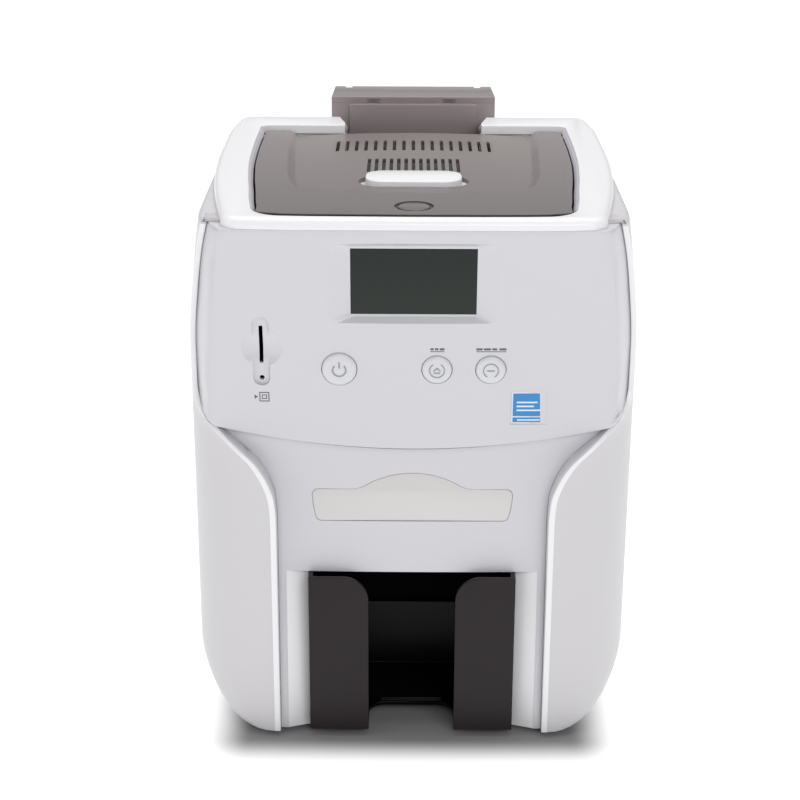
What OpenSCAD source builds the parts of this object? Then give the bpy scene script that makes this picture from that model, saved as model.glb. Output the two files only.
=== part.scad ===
// Desktop ID card printer: rear input hopper, front output stacker, hinged smoke-coloured top cover.
// Millimetres, +Z up, the front faces -Y. The origin is the centre of the footprint on the table.
// "d" in names and comments is the distance back from the front plane of the case.

/* [Case] */
// Width over the two side covers
body_w = 215; // [213:1:220]
// Depth from the front plane to the rear cover
body_d = 288; // [286:2:296]
// Height of the crease between the rim and the front panel
crease_z = 254.5; // [254:0.5:255]
// Height of the white rim above that crease
rim_h = 5; // [4.5:0.5:6]
// Wall thickness of the moulded covers
wall = 2.5; // [2:0.1:2.8]
// Gap between neighbouring covers
seam = 0.4; // [0.3:0.1:0.6]
// Height of the rubber feet under the base
foot_h = 2.5; // [2:0.5:4]
// Radius of a rubber foot
foot_r = 6; // [5:0.5:6.5]
// Height of the rear deck that the hopper stands on
deck_z = 172; // [171:0.5:173]
// Length of the rear deck, from the upper rear wall to the rear cover
deck_l = 60; // [58:0.5:61]

/* [Front] */
// Height of the seam between the two front panels at its middle
seam_z = 147.5; // [144:0.5:150]
// How far the front panels stand back from the front plane at that seam
waist_d = 9.5; // [8:0.5:10.5]
// How far the lower front panel stands back at its foot
toe_d = 2.5; // [2:0.5:4]
// Half distance between the two side cover edges at the front
wing_x = 63.5; // [62:0.5:66]
// Width of the display window
lcd_w = 56.2; // [50:0.2:60]
// Height of the display window
lcd_h = 31; // [26:0.5:33]
// Height of the display centre above the table
lcd_z = 229.4; // [228:0.2:231]
// Depth of the bevelled display recess
lcd_recess = 3; // [2:0.5:4]
// Width of a bevel at each side of the display
lcd_side_bevel = 10.5; // [8:0.5:12]
// Height of the row of push buttons above the table
button_z = 187.9; // [184:0.1:190]
// Radius of the power button
power_r = 7.9; // [7:0.1:9]
// Radius of the two smaller buttons
key_r = 6.8; // [5.5:0.1:7.2]
// Sideways place of the power button
power_x = -33.6; // [-38:0.2:-30]
// Sideways place of the card eject button
eject_x = 10.8; // [8:0.2:14]
// Sideways place of the ribbon button
ribbon_x = 35.3; // [32:0.2:38]
// Sideways place of the memory card slot
slot_x = -69; // [-72:0.5:-66]
// Height of the middle of the memory card slot
slot_z = 198; // [195:0.5:200]
// Length of the memory card slit
slit_l = 18.4; // [15:0.2:20]
// Width of the memory card slit
slit_w = 1.8; // [1.4:0.1:2.2]

/* [Stacker] */
// Width of the output stacker
stacker_w = 98; // [94:1:99]
// Height of the stacker opening above the table
mouth_top = 85.7; // [84:0.1:90]
// Half width of the open middle of the stacker front
flap_gap = 20.6; // [18:0.2:24]
// Radius of the upper inner corner of each flap
flap_corner = 12; // [8:1:16]
// Wall thickness of the smoke-coloured mouldings
smoke_wall = 2.2; // [1.8:0.1:2.6]
// Depth of the stacker box
stacker_d = 64; // [62:1:66]
// Side clearance between sliding mouldings
slide_gap = 0.4; // [0.3:0.1:0.5]

/* [Cover] */
// Clearance between the top cover and the rim
cover_gap = 0.8; // [0.6:0.1:1]
// Thickness of the top cover at its raised frame
cover_t = 4.5; // [4:0.1:5]
// Depth of the tray-like middle of the top cover
tray_step = 1.4; // [1:0.1:1.6]
// Number of vent slots in the rear row
row1_n = 17; // [9:2:17]
// Number of vent slots in the front row
row2_n = 13; // [5:2:13]
// Pitch of the rear row
row1_pitch = 4.96; // [4:0.02:5]
// Pitch of the front row
row2_pitch = 3.72; // [3.4:0.02:3.8]
// Width of a vent slot
vent_w = 1.8; // [1.2:0.1:2]
// Radius of the round lock button
lock_r = 7.3; // [6:0.1:8]
// Half width of the oval release button
release_w = 23.3; // [20:0.1:24]

/* [Hopper] */
// Width of the input hopper
hopper_w = 91; // [90.4:0.2:92]
// Depth of the input hopper
hopper_d = 58.5; // [58:0.1:59]
// Height of the hopper's front top edge above the table
hopper_top = 270; // [268:0.5:274]
// Slope of the hopper lid, falling to the back, in degrees
lid_slope = 4.5; // [3:0.5:5]

/* [Mechanism] */
// Inner face to inner face of the two steel side plates
plate_gap = 122; // [120:0.5:124]
// Thickness of the steel side plates
plate_t = 1.5; // [1:0.1:2]
// Height of the card path above the table
path_z = 176; // [175.5:0.1:176.5]
// Gear module
gear_m = 1; // [1:0.5:1]
// Radius of the transport rollers
roller_r = 8.5; // [8:0.1:9]
// Radius of the roller shafts
shaft_r = 3; // [2.5:0.1:3.5]
// Radial clearance of a shaft in its bearing
run_gap = 0.05; // [0.02:0.01:0.08]

/* [Hidden] */

front = -body_d / 2;
half_w = body_w / 2;
// Distance from the front plane to the upper rear wall
upper_rear_d = body_d - deck_l;
rim_top = crease_z + rim_h;
tiny = 0.01;
big = 400;
white = [0.93, 0.93, 0.95];
smoke = [0.35, 0.33, 0.33];
steel = [0.72, 0.74, 0.76];
black = [0.08, 0.08, 0.09];

// Slope of the upper front panel in degrees, and its distance back at a height
lean = atan(waist_d / (crease_z - seam_z));
function face_d(z) = (crease_z - z) * tan(lean);
function toe_slope() = (waist_d - toe_d) / (seam_z - foot_h);
function lower_d(z) = toe_d + (z - foot_h) * toe_slope();

// Elliptical arc about c with radii r, from angle a0 to a1 in n steps
function arc(c, r, a0, a1, n) = [for (i = [0:n])
    let(a = a0 + (a1 - a0) * i / n) [c[0] + r[0] * cos(a), c[1] + r[1] * sin(a)]];
// Full outline from its right half, which runs from the front to the back
function mirrored(half) = concat(half, [for (i = [len(half) - 1:-1:0]) [-half[i][0], half[i][1]]]);

// ---- helpers ----
// Place children at a distance d back from the front plane
module at(x, d, z) translate([x, front + d, z]) children();
// Extrude an XY outline, drawn with y as the distance back, between two heights
module plan(z0, z1) translate([0, front, z0]) linear_extrude(z1 - z0) children();
// Extrude an XZ outline between two distances back
module elevation(d0, d1) translate([0, front + d1, 0]) rotate([90, 0, 0])
    linear_extrude(d1 - d0) children();
// Extrude a YZ outline, drawn as (distance back, height), between two sideways places
module profile(x0, x1) translate([x0, front, 0]) rotate([90, 0, 90]) linear_extrude(x1 - x0) children();
// Box from its low corner, with y as the distance back
module block(x0, x1, d0, d1, z0, z1) at(x0, d0, z0) cube([x1 - x0, d1 - d0, z1 - z0]);
// Cylinder along X
module bar(r, x0, x1, d, z) at(x0, d, z) rotate([0, 90, 0]) cylinder(r = r, h = x1 - x0, $fn = 48);
// Cylinder along X from x0 to x1 on the right (s = 1), or its mirror image on the left (s = -1)
module bar_pair(r, s, x0, x1, d, z) bar(r, s > 0 ? x0 : -x1, s > 0 ? x1 : -x0, d, z);
// Box from x0 to x1 on the right (s = 1), or its mirror image on the left (s = -1)
module block_pair(s, x0, x1, d0, d1, z0, z1) block(s > 0 ? x0 : -x1, s > 0 ? x1 : -x0, d0, d1, z0, z1);
// Local frame on the upper front panel: +Z points out of the panel, +Y up along it
module on_face(x, z) at(x, face_d(z), z) rotate([90 + lean, 0, 0]) children();
module rounded(w, h, r) hull() for (sx = [-1, 1], sy = [-1, 1])
    translate([sx * (w / 2 - r), sy * (h / 2 - r)]) circle(r = r, $fn = 24);

// ---- outer case ----
corner_in = 65;
corner_d = 48;
function case_plan() = mirrored(concat(
    [[0, 0]],
    arc([corner_in, corner_d], [half_w - 1.7 - corner_in, corner_d], -90, 0, 9),
    [[half_w - 0.6, 85], [half_w, 140], [half_w - 3, upper_rear_d - 13], [half_w - 7, body_d - 14]],
    arc([half_w - 19, body_d - 12], [12, 12], 10, 90, 3)));
function case_front() = mirrored(concat(
    [[0, foot_h]],
    arc([half_w - 40, foot_h + 34], [40, 34], -90, 0, 7),
    [[half_w, 150], [half_w - 0.3, 165], [half_w - 0.8, 185], [half_w - 1.8, 205], [half_w - 3.1, 218],
        [half_w - 4.9, 232], [half_w - 6.8, 246], [half_w - 8.6, crease_z]]));
module case_side() {
    difference() {
        translate([0, foot_h]) square([body_d, crease_z - foot_h]);
        translate([upper_rear_d, deck_z]) square([big, big]);
        translate([body_d - 10, foot_h]) difference() {
            square([10 + tiny, 10]);
            translate([0, 10]) circle(r = 10, $fn = 48);
        }
    }
}
// The whole case as a solid, drawn in by an even inset
module case_solid(inset) intersection() {
    plan(0, big) offset(delta = -inset) polygon(case_plan());
    elevation(-1, body_d + 1) offset(delta = -inset) polygon(case_front());
    profile(-half_w - 1, half_w + 1) offset(delta = -inset) case_side();
}
// Right half of the line where a side cover ends towards the front, as (x, z)
wing_shape = [[0, 0], [0, 113], [0.7, 124], [3.3, 132.5], [9.3, 142.5], [16, 148.5], [26.5, 157],
    [33, 161.5],
    [37, 167], [38.5, 174], [38.5, 197], [36.5, 220], [33.5, 240], [30, crease_z + 1]];
wing_line = [for (p = wing_shape) [wing_x + p[0] * (half_w - wing_x) / 44, p[1]]];
// Region between the two side cover edges, drawn in by a gap
module between_wings(gap) offset(delta = -gap) polygon(mirrored(wing_line));
rear_x = 88;
wing_end_d = 56;
module side_cover() color(white) {
    difference() {
        intersection() {
            union() {
                difference() {
                    case_solid(0);
                    case_solid(wall);
                }
                // return flange along the front edge
                intersection() {
                    case_solid(0);
                    union() {
                        elevation(-1, 16) between_wings(-wall);
                        elevation(15, wing_end_d - 14) difference() {
                            between_wings(-wall);
                            translate([-big / 2, 0]) square([big, 140]);
                        }
                    }
                }
            }
            block(0, half_w + 1, -1, body_d + 1, 0, big);
        }
        elevation(-2, wing_end_d) between_wings(0);
        block(-1, wing_x + tiny, -2, body_d + 2, 0, foot_h + 8);
        block(-1, half_w - 16, wing_end_d - 1, upper_rear_d + 1, crease_z - wall - 1, big);
        block(-1, rear_x + seam, upper_rear_d - 4, body_d + 1, foot_h + 6, big);
    }
}

module rear_cover() color(white) {
    difference() {
        intersection() {
            difference() {
                case_solid(0);
                case_solid(wall);
            }
            block(-rear_x, rear_x, upper_rear_d - 4 + seam, body_d + 1, foot_h + 6 + seam, crease_z);
        }
        // feed window behind the hopper, and the window of the pick roller in the deck
        block(-guide_x, guide_x, upper_rear_d - wall - 1, upper_rear_d + 1, path_z - 2, path_z + 4);
        block(-neck_gap, neck_gap, upper_rear_d - wall - 1, upper_rear_d + 1, crease_z - 15, big);
        block(-pick_window, pick_window, pick_d - pick_window, pick_d + pick_window, deck_z - wall - 1,
            deck_z + 1);
        // fan grille
        for (i = [-3:3]) at(fan_x - 17, body_d - 4, fan_z + i * 5 - 1.2) cube([34, 5, 2.4]);
        // sockets
        block(inlet_x - inlet_w / 2, inlet_x + inlet_w / 2, body_d - 4, body_d + 1,
            inlet_z - inlet_h / 2, inlet_z + inlet_h / 2);
        block(switch_x - 7.2, switch_x + 7.2, body_d - 4, body_d + 1, inlet_z - 10.2, inlet_z + 10.2);
        block(usb_x - 6.5, usb_x + 6.5, body_d - 4, body_d + 1, port_z - 6, port_z + 6);
        block(net_x - 8.2, net_x + 8.2, body_d - 4, body_d + 1, port_z - 7, port_z + 7);
    }
}

// ---- base ----
bay_x = stacker_w / 2 + slide_gap;
ledge_x = bay_x - 6;
ledge_z = foot_h + 2;
bay_d = stacker_d + 3;
foot_x = (bay_x + wing_x) / 2 + 0.1;
foot_front_d = 38;
foot_rear_d = body_d - 30;
module base_tray() color([0.25, 0.25, 0.27]) {
    difference() {
        intersection() {
            case_solid(0);
            union() {
                block(-wing_x + seam, wing_x - seam, 12, body_d, foot_h, foot_h + 3);
                block(-wing_x + seam, wing_x - seam, body_d - 12, body_d, foot_h, foot_h + 6);
            }
        }
        block(-ledge_x, ledge_x, 0, bay_d, foot_h - 1, foot_h + 4);
        block(-bay_x, bay_x, 0, bay_d, ledge_z, foot_h + 4);
        for (x = [-1, 1], d = [foot_front_d, foot_rear_d]) at(x * foot_x, d, foot_h - 1)
            cylinder(r = 2, h = 3, $fn = 32);
    }
}
module foot(x, d) color(black) {
    at(x, d, 0) cylinder(r = foot_r, h = foot_h, $fn = 48);
    at(x, d, foot_h - tiny) cylinder(r = 1.9, h = 1.5, $fn = 32);
}

// ---- output bay ----
// Dark box around the stacker, open at the top where the cards drop in
liner_x = bay_x + 0.3;
liner_t = 1.8;
module bay_liner() color(black) {
    for (s = [-1, 1]) block_pair(s, liner_x, liner_x + liner_t, 13, bay_d + liner_t, foot_h + 3,
        mouth_top + 4);
    block(-liner_x - 0.1, liner_x + 0.1, bay_d, bay_d + liner_t, foot_h + 3, mouth_top + 4);
    block(-liner_x - 0.1, liner_x + 0.1, 14.5, 54, mouth_top + 2, mouth_top + 4);
}

// ---- rim ----
// Opening of the rim in plan, drawn in by a gap
opening_front_d = 5;
opening_rear_d = upper_rear_d - 27.2;
rim_side_x = half_w - 8.5;
opening_x = rim_side_x - 16.3;
function opening_plan() = mirrored(concat(
    [[0, opening_front_d], [opening_x - 25.7, opening_front_d + 0.8]],
    arc([opening_x - 22.7, opening_front_d + 17], [13.6, 16], -80, 0, 6),
    [[opening_x - 5.7, 55], [opening_x - 3.1, 82], [opening_x - 0.7, 120],
        [opening_x, opening_rear_d - 40.8],
        [opening_x - 0.1, opening_rear_d - 4], [opening_x - 3.7, opening_rear_d]]));
function rim_plan() = mirrored([[0, 0], [50, 0.4], [rim_side_x - 22, 1.2], [rim_side_x - 16, 3.2],
    [rim_side_x - 12.8, 8], [rim_side_x - 10.7, 24], [rim_side_x - 5, 62], [rim_side_x - 1.5, 100],
        [rim_side_x, 140], [rim_side_x, upper_rear_d - 38],
    [rim_side_x - 2, upper_rear_d - 16], [rim_side_x - 5.5, upper_rear_d - 2.5], [70, upper_rear_d - 0.8],
    [0, upper_rear_d - 0.2]]);
neck_gap = 37.2;
module rim_slab(inset, z0, z1) plan(z0, z1) offset(delta = -inset) polygon(rim_plan());
module top_rim() color(white) {
    chamfer = 4.5;
    difference() {
        union() {
            hull() {
                rim_slab(0, crease_z, crease_z + 0.6);
                rim_slab(chamfer, rim_top - 0.2, rim_top);
            }
            plan(crease_z - 10, crease_z + tiny) difference() {
                offset(delta = wall) polygon(opening_plan());
                polygon(opening_plan());
            }
        }
        plan(crease_z - 11, rim_top + 1) polygon(opening_plan());
        block(-half_w, half_w, -1, 20, crease_z - 11, crease_z);
        plan(crease_z - 1, rim_top - wall) difference() {
            offset(delta = -chamfer - 1.5) polygon(rim_plan());
            offset(delta = wall) polygon(opening_plan());
        }
        plan(crease_z - 11, rim_top + 1) polygon(mirrored([[neck_gap, upper_rear_d - 38],
            [neck_gap, upper_rear_d - 20],
            [neck_gap + 4.3, upper_rear_d + 1]]));
        for (s = [-1, 1]) bar_pair(pin_r, s, hinge_in_x, hinge_out_x, hinge_d, hinge_z);
    }
}

// ---- front panels ----
// Plan of the upper front panel at a height: y0 is the distance back, w the half width of the crease,
// side the half width where the panel runs under the side cover at depth d
function panel_plan(y0, w, side, d, t) = mirrored([[0, y0 + t], [w * 0.6, y0 + 0.5 + t],
    [w - 7 - t / 2, y0 + 1.3 + t], [w - 1.8 - t, y0 + 3.2 + t], [w - t, y0 + 7 + t], [side - t, d],
        [side - t, d + 8]]);
module panel_solid(t) hull() {
    plan(crease_z - tiny, crease_z) polygon(panel_plan(0, half_w - 21, half_w - 13.5, 36, t));
    plan(205, 205 + tiny) polygon(panel_plan(face_d(205), half_w - 15, half_w - 3, 27, t));
    plan(seam_z, seam_z + tiny) polygon(panel_plan(waist_d, half_w - 11.5, half_w - 3, 27, t));
}
seam_r = 392;
module above_seam(gap) difference() {
    translate([-big / 2, 0]) square([big, big]);
    difference() {
        translate([-big / 2, 0]) square([big, seam_z + 60]);
        translate([0, seam_z + seam_r + gap]) circle(r = seam_r, $fn = 240);
    }
}
lcd_out_w = lcd_w + 2 * lcd_side_bevel;
lcd_out_h = lcd_h + 6.5;
board_back = -wall - 7.9;
module front_panel() color(white) {
    difference() {
        intersection() {
            union() {
                difference() {
                    panel_solid(0);
                    panel_solid(wall);
                }
                on_face(0, lcd_z) translate([-lcd_out_w / 2 - 1.5, -lcd_out_h / 2 - 1.5, -lcd_recess - 2.5])
                    cube([lcd_out_w + 3, min(lcd_out_h + 3, lcd_out_h / 2 + 1.5 + crease_z - lcd_z - 1),
                        lcd_recess + 2.2]);
                on_face(slot_x, slot_z - 2) translate([-12, -19, -wall - 1.8]) cube([24, 37, wall + 1.5]);
                // posts that carry the control board
                for (x = [-50, 50], y = [-18, 10]) on_face(x, button_z) translate([0, y, board_back])
                    cylinder(r = 2.5, h = -board_back - 1.2, $fn = 32);
            }
            elevation(-1, 62) between_wings(seam);
            elevation(-1, 62) above_seam(seam / 2);
            block(-half_w, half_w, -1, 62, 0, crease_z);
        }
        // display recess and window
        on_face(0, lcd_z) hull() {
            translate([0, 0, 1]) linear_extrude(tiny) rounded(lcd_out_w + 5, lcd_out_h + 2, 4);
            translate([0, 0, -lcd_recess]) linear_extrude(tiny) rounded(lcd_w + 3, lcd_h + 3, 3);
        }
        on_face(0, lcd_z) translate([0, 0, -lcd_recess - 6]) linear_extrude(10)
            square([lcd_w + 0.4, lcd_h + 0.4], center = true);
        // push button holes
        on_face(power_x, button_z) translate([0, 0, -8]) cylinder(r = power_r + 0.25, h = 10, $fn = 64);
        for (x = [eject_x, ribbon_x]) on_face(x, button_z) translate([0, 0, -8])
            cylinder(r = key_r + 0.25, h = 10, $fn = 64);
        on_face(sticker_x, sticker_z) translate([0, 0, -1]) linear_extrude(4)
            square(sticker_w + 0.4, center = true);
        // memory card slot: long recess, finger dish, slit and lamp hole
        on_face(slot_x, slot_z - 2) translate([0, 0, -0.8]) linear_extrude(4) rounded(7.8, 33.6, 3.8);
        on_face(slot_x, slot_z) translate([0, 0, dish_r - dish_depth]) sphere(r = dish_r, $fn = 64);
        on_face(slot_x, slot_z + 1) translate([-slit_w / 2, -slit_l / 2, -8]) cube([slit_w, slit_l, 12]);
        on_face(slot_x, slot_z - 15.4) translate([0, 0, -8]) cylinder(r = 1.2, h = 12, $fn = 32);
    }
}
dish_depth = 2;
dish_r = (9.5 * 9.5 + dish_depth * dish_depth) / (2 * dish_depth);

function lower_plan(y0, t) = mirrored([[0, y0 + t], [half_w - 49.5, y0 + 0.5 + t],
    [half_w - 23.5 - t, y0 + 2.2 + t],
    [half_w - 16.5 - t, y0 + 6 + t], [half_w - 9.5 - t, y0 + 20], [half_w - 8.5 - t, y0 + 30]]);
module lower_solid(t) hull() {
    plan(seam_z + 18, seam_z + 18 + tiny) polygon(lower_plan(lower_d(seam_z + 18), t));
    plan(foot_h, foot_h + tiny) polygon(lower_plan(lower_d(foot_h), t));
}
cheek_out = bay_x + 10.3;
cheek_d = 6;
module lower_front_panel() color(white) {
    difference() {
        union() {
            intersection() {
                difference() {
                    lower_solid(0);
                    lower_solid(wall);
                }
                elevation(-1, 40) between_wings(seam);
                elevation(-1, 40) difference() {
                    translate([-big / 2, 0]) square([big, seam_z + 30]);
                    above_seam(-seam / 2);
                    translate([-cheek_out, 0]) square([2 * cheek_out, mouth_top]);
                }
                block(-half_w, half_w, -1, 30, foot_h, big);
            }
            // the slanted cheeks and the lintel around the mouth
            for (s = [-1, 1]) plan(foot_h, mouth_top) polygon([
                [s * (cheek_out + 0.5), lower_d(foot_h) + 0.8], [s * bay_x, lower_d(foot_h) + cheek_d - 2],
                [s * bay_x, 11.5], [s * (bay_x + wall), 11.5], [s * (wing_x - seam - 0.1), 9.5],
                [s * (wing_x - seam - 0.1), 3.4]]);
            intersection() {
                profile(-wing_x + seam, wing_x - seam) polygon([[lower_d(mouth_top), mouth_top],
                    [lower_d(mouth_top + 2), mouth_top + 2], [12.7, mouth_top + 2], [12.7, mouth_top]]);
                lower_solid(0);
            }
        }
        label_pocket();
    }
}
label_z = 119.6;
label_t = 1;
// Shape of the label plate: a wide plate with an arched top
module label_shape() {
    polygon([[-43, -8], [43, -8], [45.8, -4], [47.2, 8], [-47.2, 8], [-45.8, -4]]);
    intersection() {
        translate([-24.3, -8]) square([48.6, 24]);
        translate([0, 15.6 - 42]) circle(r = 42, $fn = 96);
    }
}
module on_lower(z) at(0, lower_d(z), z) rotate([90 - atan(toe_slope()), 0, 0]) children();
module label_pocket() on_lower(label_z) translate([0, 0, -label_t - 0.3])
    linear_extrude(label_t + 4) label_shape();
module label_plate() color([0.85, 0.84, 0.82]) on_lower(label_z) translate([0, 0, -label_t - 0.3])
    linear_extrude(label_t) offset(delta = -0.2) label_shape();

// ---- front panel contents ----
module lcd_window() color([0.15, 0.17, 0.16]) on_face(0, lcd_z) translate([0, 0, -lcd_recess - 1.6])
    linear_extrude(1.5) square([lcd_w, lcd_h], center = true);
module lcd_module() color([0.2, 0.35, 0.25]) on_face(0, lcd_z) {
    translate([-33, -20, -lcd_recess - 8.2]) cube([66, 36, 1.6]);
    translate([-lcd_w / 2 + 1, -lcd_h / 2 + 1, -lcd_recess - 6.6]) cube([lcd_w - 2, lcd_h - 2, 4.9]);
}
module control_board() color([0.1, 0.4, 0.2]) on_face(0, button_z) {
    translate([-54, -22, board_back - 1.6]) cube([108, 36, 1.6]);
    for (x = [power_x, eject_x, ribbon_x]) translate([x - 3, -3, board_back - 0.1]) cube([6, 6, 3.4]);
}
// Push button: cap in the panel, flange behind it and stem; local +Z points out
module push_button(r) rotate_extrude($fn = 96) polygon([[0, -wall - 3], [2, -wall - 3], [2, -wall - 2.2],
    [r + 1.2, -wall - 2.2], [r + 1.2, -wall - 0.9], [r, -wall - 0.9], [r, 0.3], [r - 0.6, 0.9], [0, 1.1]]);
module power_button() color(white) on_face(power_x, button_z) push_button(power_r);
module eject_button() color(white) on_face(eject_x, button_z) push_button(key_r);
module ribbon_button() color(white) on_face(ribbon_x, button_z) push_button(key_r);
module card_reader() color(black) on_face(slot_x, slot_z) difference() {
    translate([-5, -14, -wall - 1.85 - 20]) cube([10, 30, 20]);
    translate([-slit_w / 2 - 0.2, 1 - slit_l / 2 - 0.2, -wall - 1.85 - 18])
        cube([slit_w + 0.4, slit_l + 0.4, 20]);
}
sticker_x = 53.2;
sticker_z = 168.6;
sticker_w = 16.6;
module sticker() color([0.1, 0.5, 0.8]) on_face(sticker_x, sticker_z) translate([0, 0, -1])
    linear_extrude(0.6)
    square(sticker_w, center = true);

// ---- top cover ----
hinge_d = upper_rear_d - 34;
hinge_z = rim_top - 5.5;
pin_r = 1.5;
hinge_in_x = opening_x - 16.7;
hinge_out_x = opening_x + 1.9;
cover_top_z = rim_top - 1.3;
// Height of the cover's raised frame at a distance back
function cover_z(d) = cover_top_z - pow((d - 80) / 120, 2) * 1.2;
tray_z = cover_top_z - tray_step;
tray_r = 1100;
tray_front_d = 54.5;
tray_x = opening_x - 20.7;
cover_d = [for (i = [0:13]) 4 + i * (opening_rear_d - 3.2) / 13];
function tray_plan() = mirrored(concat([[0, tray_front_d], [tray_x - 30, tray_front_d + 1]],
    arc([tray_x - 28, tray_front_d + 38], [28, 37], -80, 0, 6), [[tray_x + 5.5, opening_rear_d + 1]]));
release_d = 88;
release_half_d = 11.7;
lock_d = 30;
row1_d = hinge_d - 26;
row1_l = 24;
row2_d = 122;
row2_l = 29;
latch_d = 66;
under_z = cover_top_z - cover_t;
latch_z = under_z - 3.5;
module release_hole(gap) rounded(2 * (release_w + 3), 2 * (release_half_d + gap),
    release_half_d + gap - 0.1);
module vents(n, pitch, d, l) for (i = [0:n - 1])
    at((i - (n - 1) / 2) * pitch, d, cover_top_z - 8) translate([-vent_w / 2, -l / 2, 0])
        cube([vent_w, l, 12]);
module top_cover() color(smoke) {
    difference() {
        union() {
            difference() {
                intersection() {
                    plan(cover_top_z - 20, rim_top) difference() {
                        offset(delta = -cover_gap) polygon(opening_plan());
                        translate([-big / 2, opening_rear_d - cover_gap - 0.8]) square([big, 20]);
                        // cut corners, so that they pass the rim as the cover swings up
                        for (s = [-1, 1]) polygon([[s * (opening_x + 2.7), opening_rear_d - 9.5],
                            [s * (opening_x - 6.9), opening_rear_d + 1.2],
                                [s * (opening_x + 7), opening_rear_d + 1.2]]);
                    }
                    profile(-half_w, half_w) polygon(concat([for (d = cover_d) [d, cover_z(d)]],
                        [for (i = [len(cover_d) - 1:-1:0]) [cover_d[i], cover_z(cover_d[i]) - cover_t]]));
                }
                // the tray-like middle, crowned across its width
                difference() {
                    plan(tray_z - 4, rim_top + 1) polygon(tray_plan());
                    at(0, 0, tray_z - tray_r) rotate([-90, 0, 0])
                        cylinder(r = tray_r, h = body_d, $fn = 720);
                }
            }
            // stiffening skirt under the edge
            plan(cover_top_z - 7.5, cover_top_z - cover_t + 0.2) difference() {
                offset(delta = -cover_gap - 0.4) polygon(opening_plan());
                offset(delta = -cover_gap - 2.2) polygon(opening_plan());
                translate([-big / 2, hinge_d - 12]) square([big, 40]);
            }
            // hinge knuckles
            for (s = [-1, 1]) bar_pair(3, s, hinge_in_x + 4, hinge_in_x + 14, hinge_d, hinge_z);
            // bearings of the latch
            for (s = [-1, 1]) block_pair(s, 6.5, 9.5, latch_d - 3.5, latch_d + 3.5, latch_z - 3.5,
                under_z + 0.5);
        }
        for (s = [-1, 1]) bar_pair(pin_r + run_gap, s, hinge_in_x - 6, hinge_out_x + 5, hinge_d, hinge_z);
        bar(pin_r + run_gap, -10, 10, latch_d, latch_z);
        vents(row1_n, row1_pitch, row1_d, row1_l);
        vents(row2_n, row2_pitch, row2_d, row2_l);
        plan(cover_top_z - 8, rim_top + 1) translate([0, release_d]) release_hole(0.3);
        at(0, lock_d, cover_top_z - 8) cylinder(r = lock_r + 0.25, h = 12, $fn = 64);
        at(0, lock_d, cover_z(lock_d) - 1) cylinder(r = lock_r + 1.7, h = 4, $fn = 64);
    }
}
module release_button() color(white) {
    plan(under_z - 1, tray_z + 1.6) translate([0, release_d]) rounded(2 * release_w, 2 * release_half_d, 9);
    plan(under_z - 1.7, under_z - 0.2) translate([0, release_d])
        rounded(2 * release_w + 12, 2 * release_half_d + 2.5, 9);
}
module lock_button() color(smoke) at(0, lock_d, 0) {
    translate([0, 0, under_z - 1.5]) cylinder(r = lock_r, h = cover_z(lock_d) - under_z + 1.5, $fn = 64);
    translate([0, 0, under_z - 1.9]) cylinder(r = lock_r + 1.5, h = 1.4, $fn = 64);
}
module latch_hook() color(white) {
    bar(pin_r, -9.3, 9.3, latch_d, latch_z);
    profile(-6, 6) union() {
        translate([latch_d, latch_z]) circle(r = 3, $fn = 32);
        translate([latch_d, latch_z - 1]) square([17, 1.5]);
        translate([latch_d + 13, latch_z - 1]) square([4, 2.5]);
        translate([latch_d - 2, latch_z - 14]) square([4, 14]);
        translate([latch_d, latch_z - 14]) square([4.7, 2.2]);
    }
}
module hinge_pin(s) color(steel) bar_pair(pin_r, s, hinge_in_x + 4, hinge_out_x, hinge_d, hinge_z);

// ---- stacker ----
stacker_x = stacker_w / 2;
stacker_top = mouth_top - 0.7;
notch_d = 22;
module stacker() color(smoke) {
    difference() {
        block(-stacker_x, stacker_x, 0, stacker_d, ledge_z, ledge_z + smoke_wall);
        plan(0, ledge_z + 20) translate([0, notch_d / 2 - 5]) rounded(2 * flap_gap, notch_d + 10, 8);
    }
    // front flaps
    for (s = [-1, 1]) mirror([s > 0 ? 0 : 1, 0, 0]) elevation(0, smoke_wall) difference() {
        translate([flap_gap, foot_h + 1.2]) square([stacker_x - flap_gap, stacker_top - foot_h - 1.2]);
        difference() {
            translate([flap_gap - 1, stacker_top - flap_corner]) square([flap_corner + 1, flap_corner + 1]);
            translate([flap_gap + flap_corner, stacker_top - flap_corner])
                circle(r = flap_corner, $fn = 96);
        }
    }
    // side walls, back wall and the raised lip behind the finger notch
    for (s = [-1, 1]) block_pair(s, stacker_x - smoke_wall, stacker_x, 0, stacker_d, ledge_z, stacker_top);
    block(-stacker_x, stacker_x, stacker_d - smoke_wall, stacker_d, ledge_z, 42);
    block(-15.4, 15.4, notch_d + 0.5, notch_d + 3.5, ledge_z + smoke_wall - 0.5, ledge_z + smoke_wall + 2);
}

// ---- hopper ----
hopper_x = hopper_w / 2;
hopper_front_d = upper_rear_d + 0.5;
hopper_back_d = hopper_front_d + hopper_d;
lid_t = 3.4;
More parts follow.
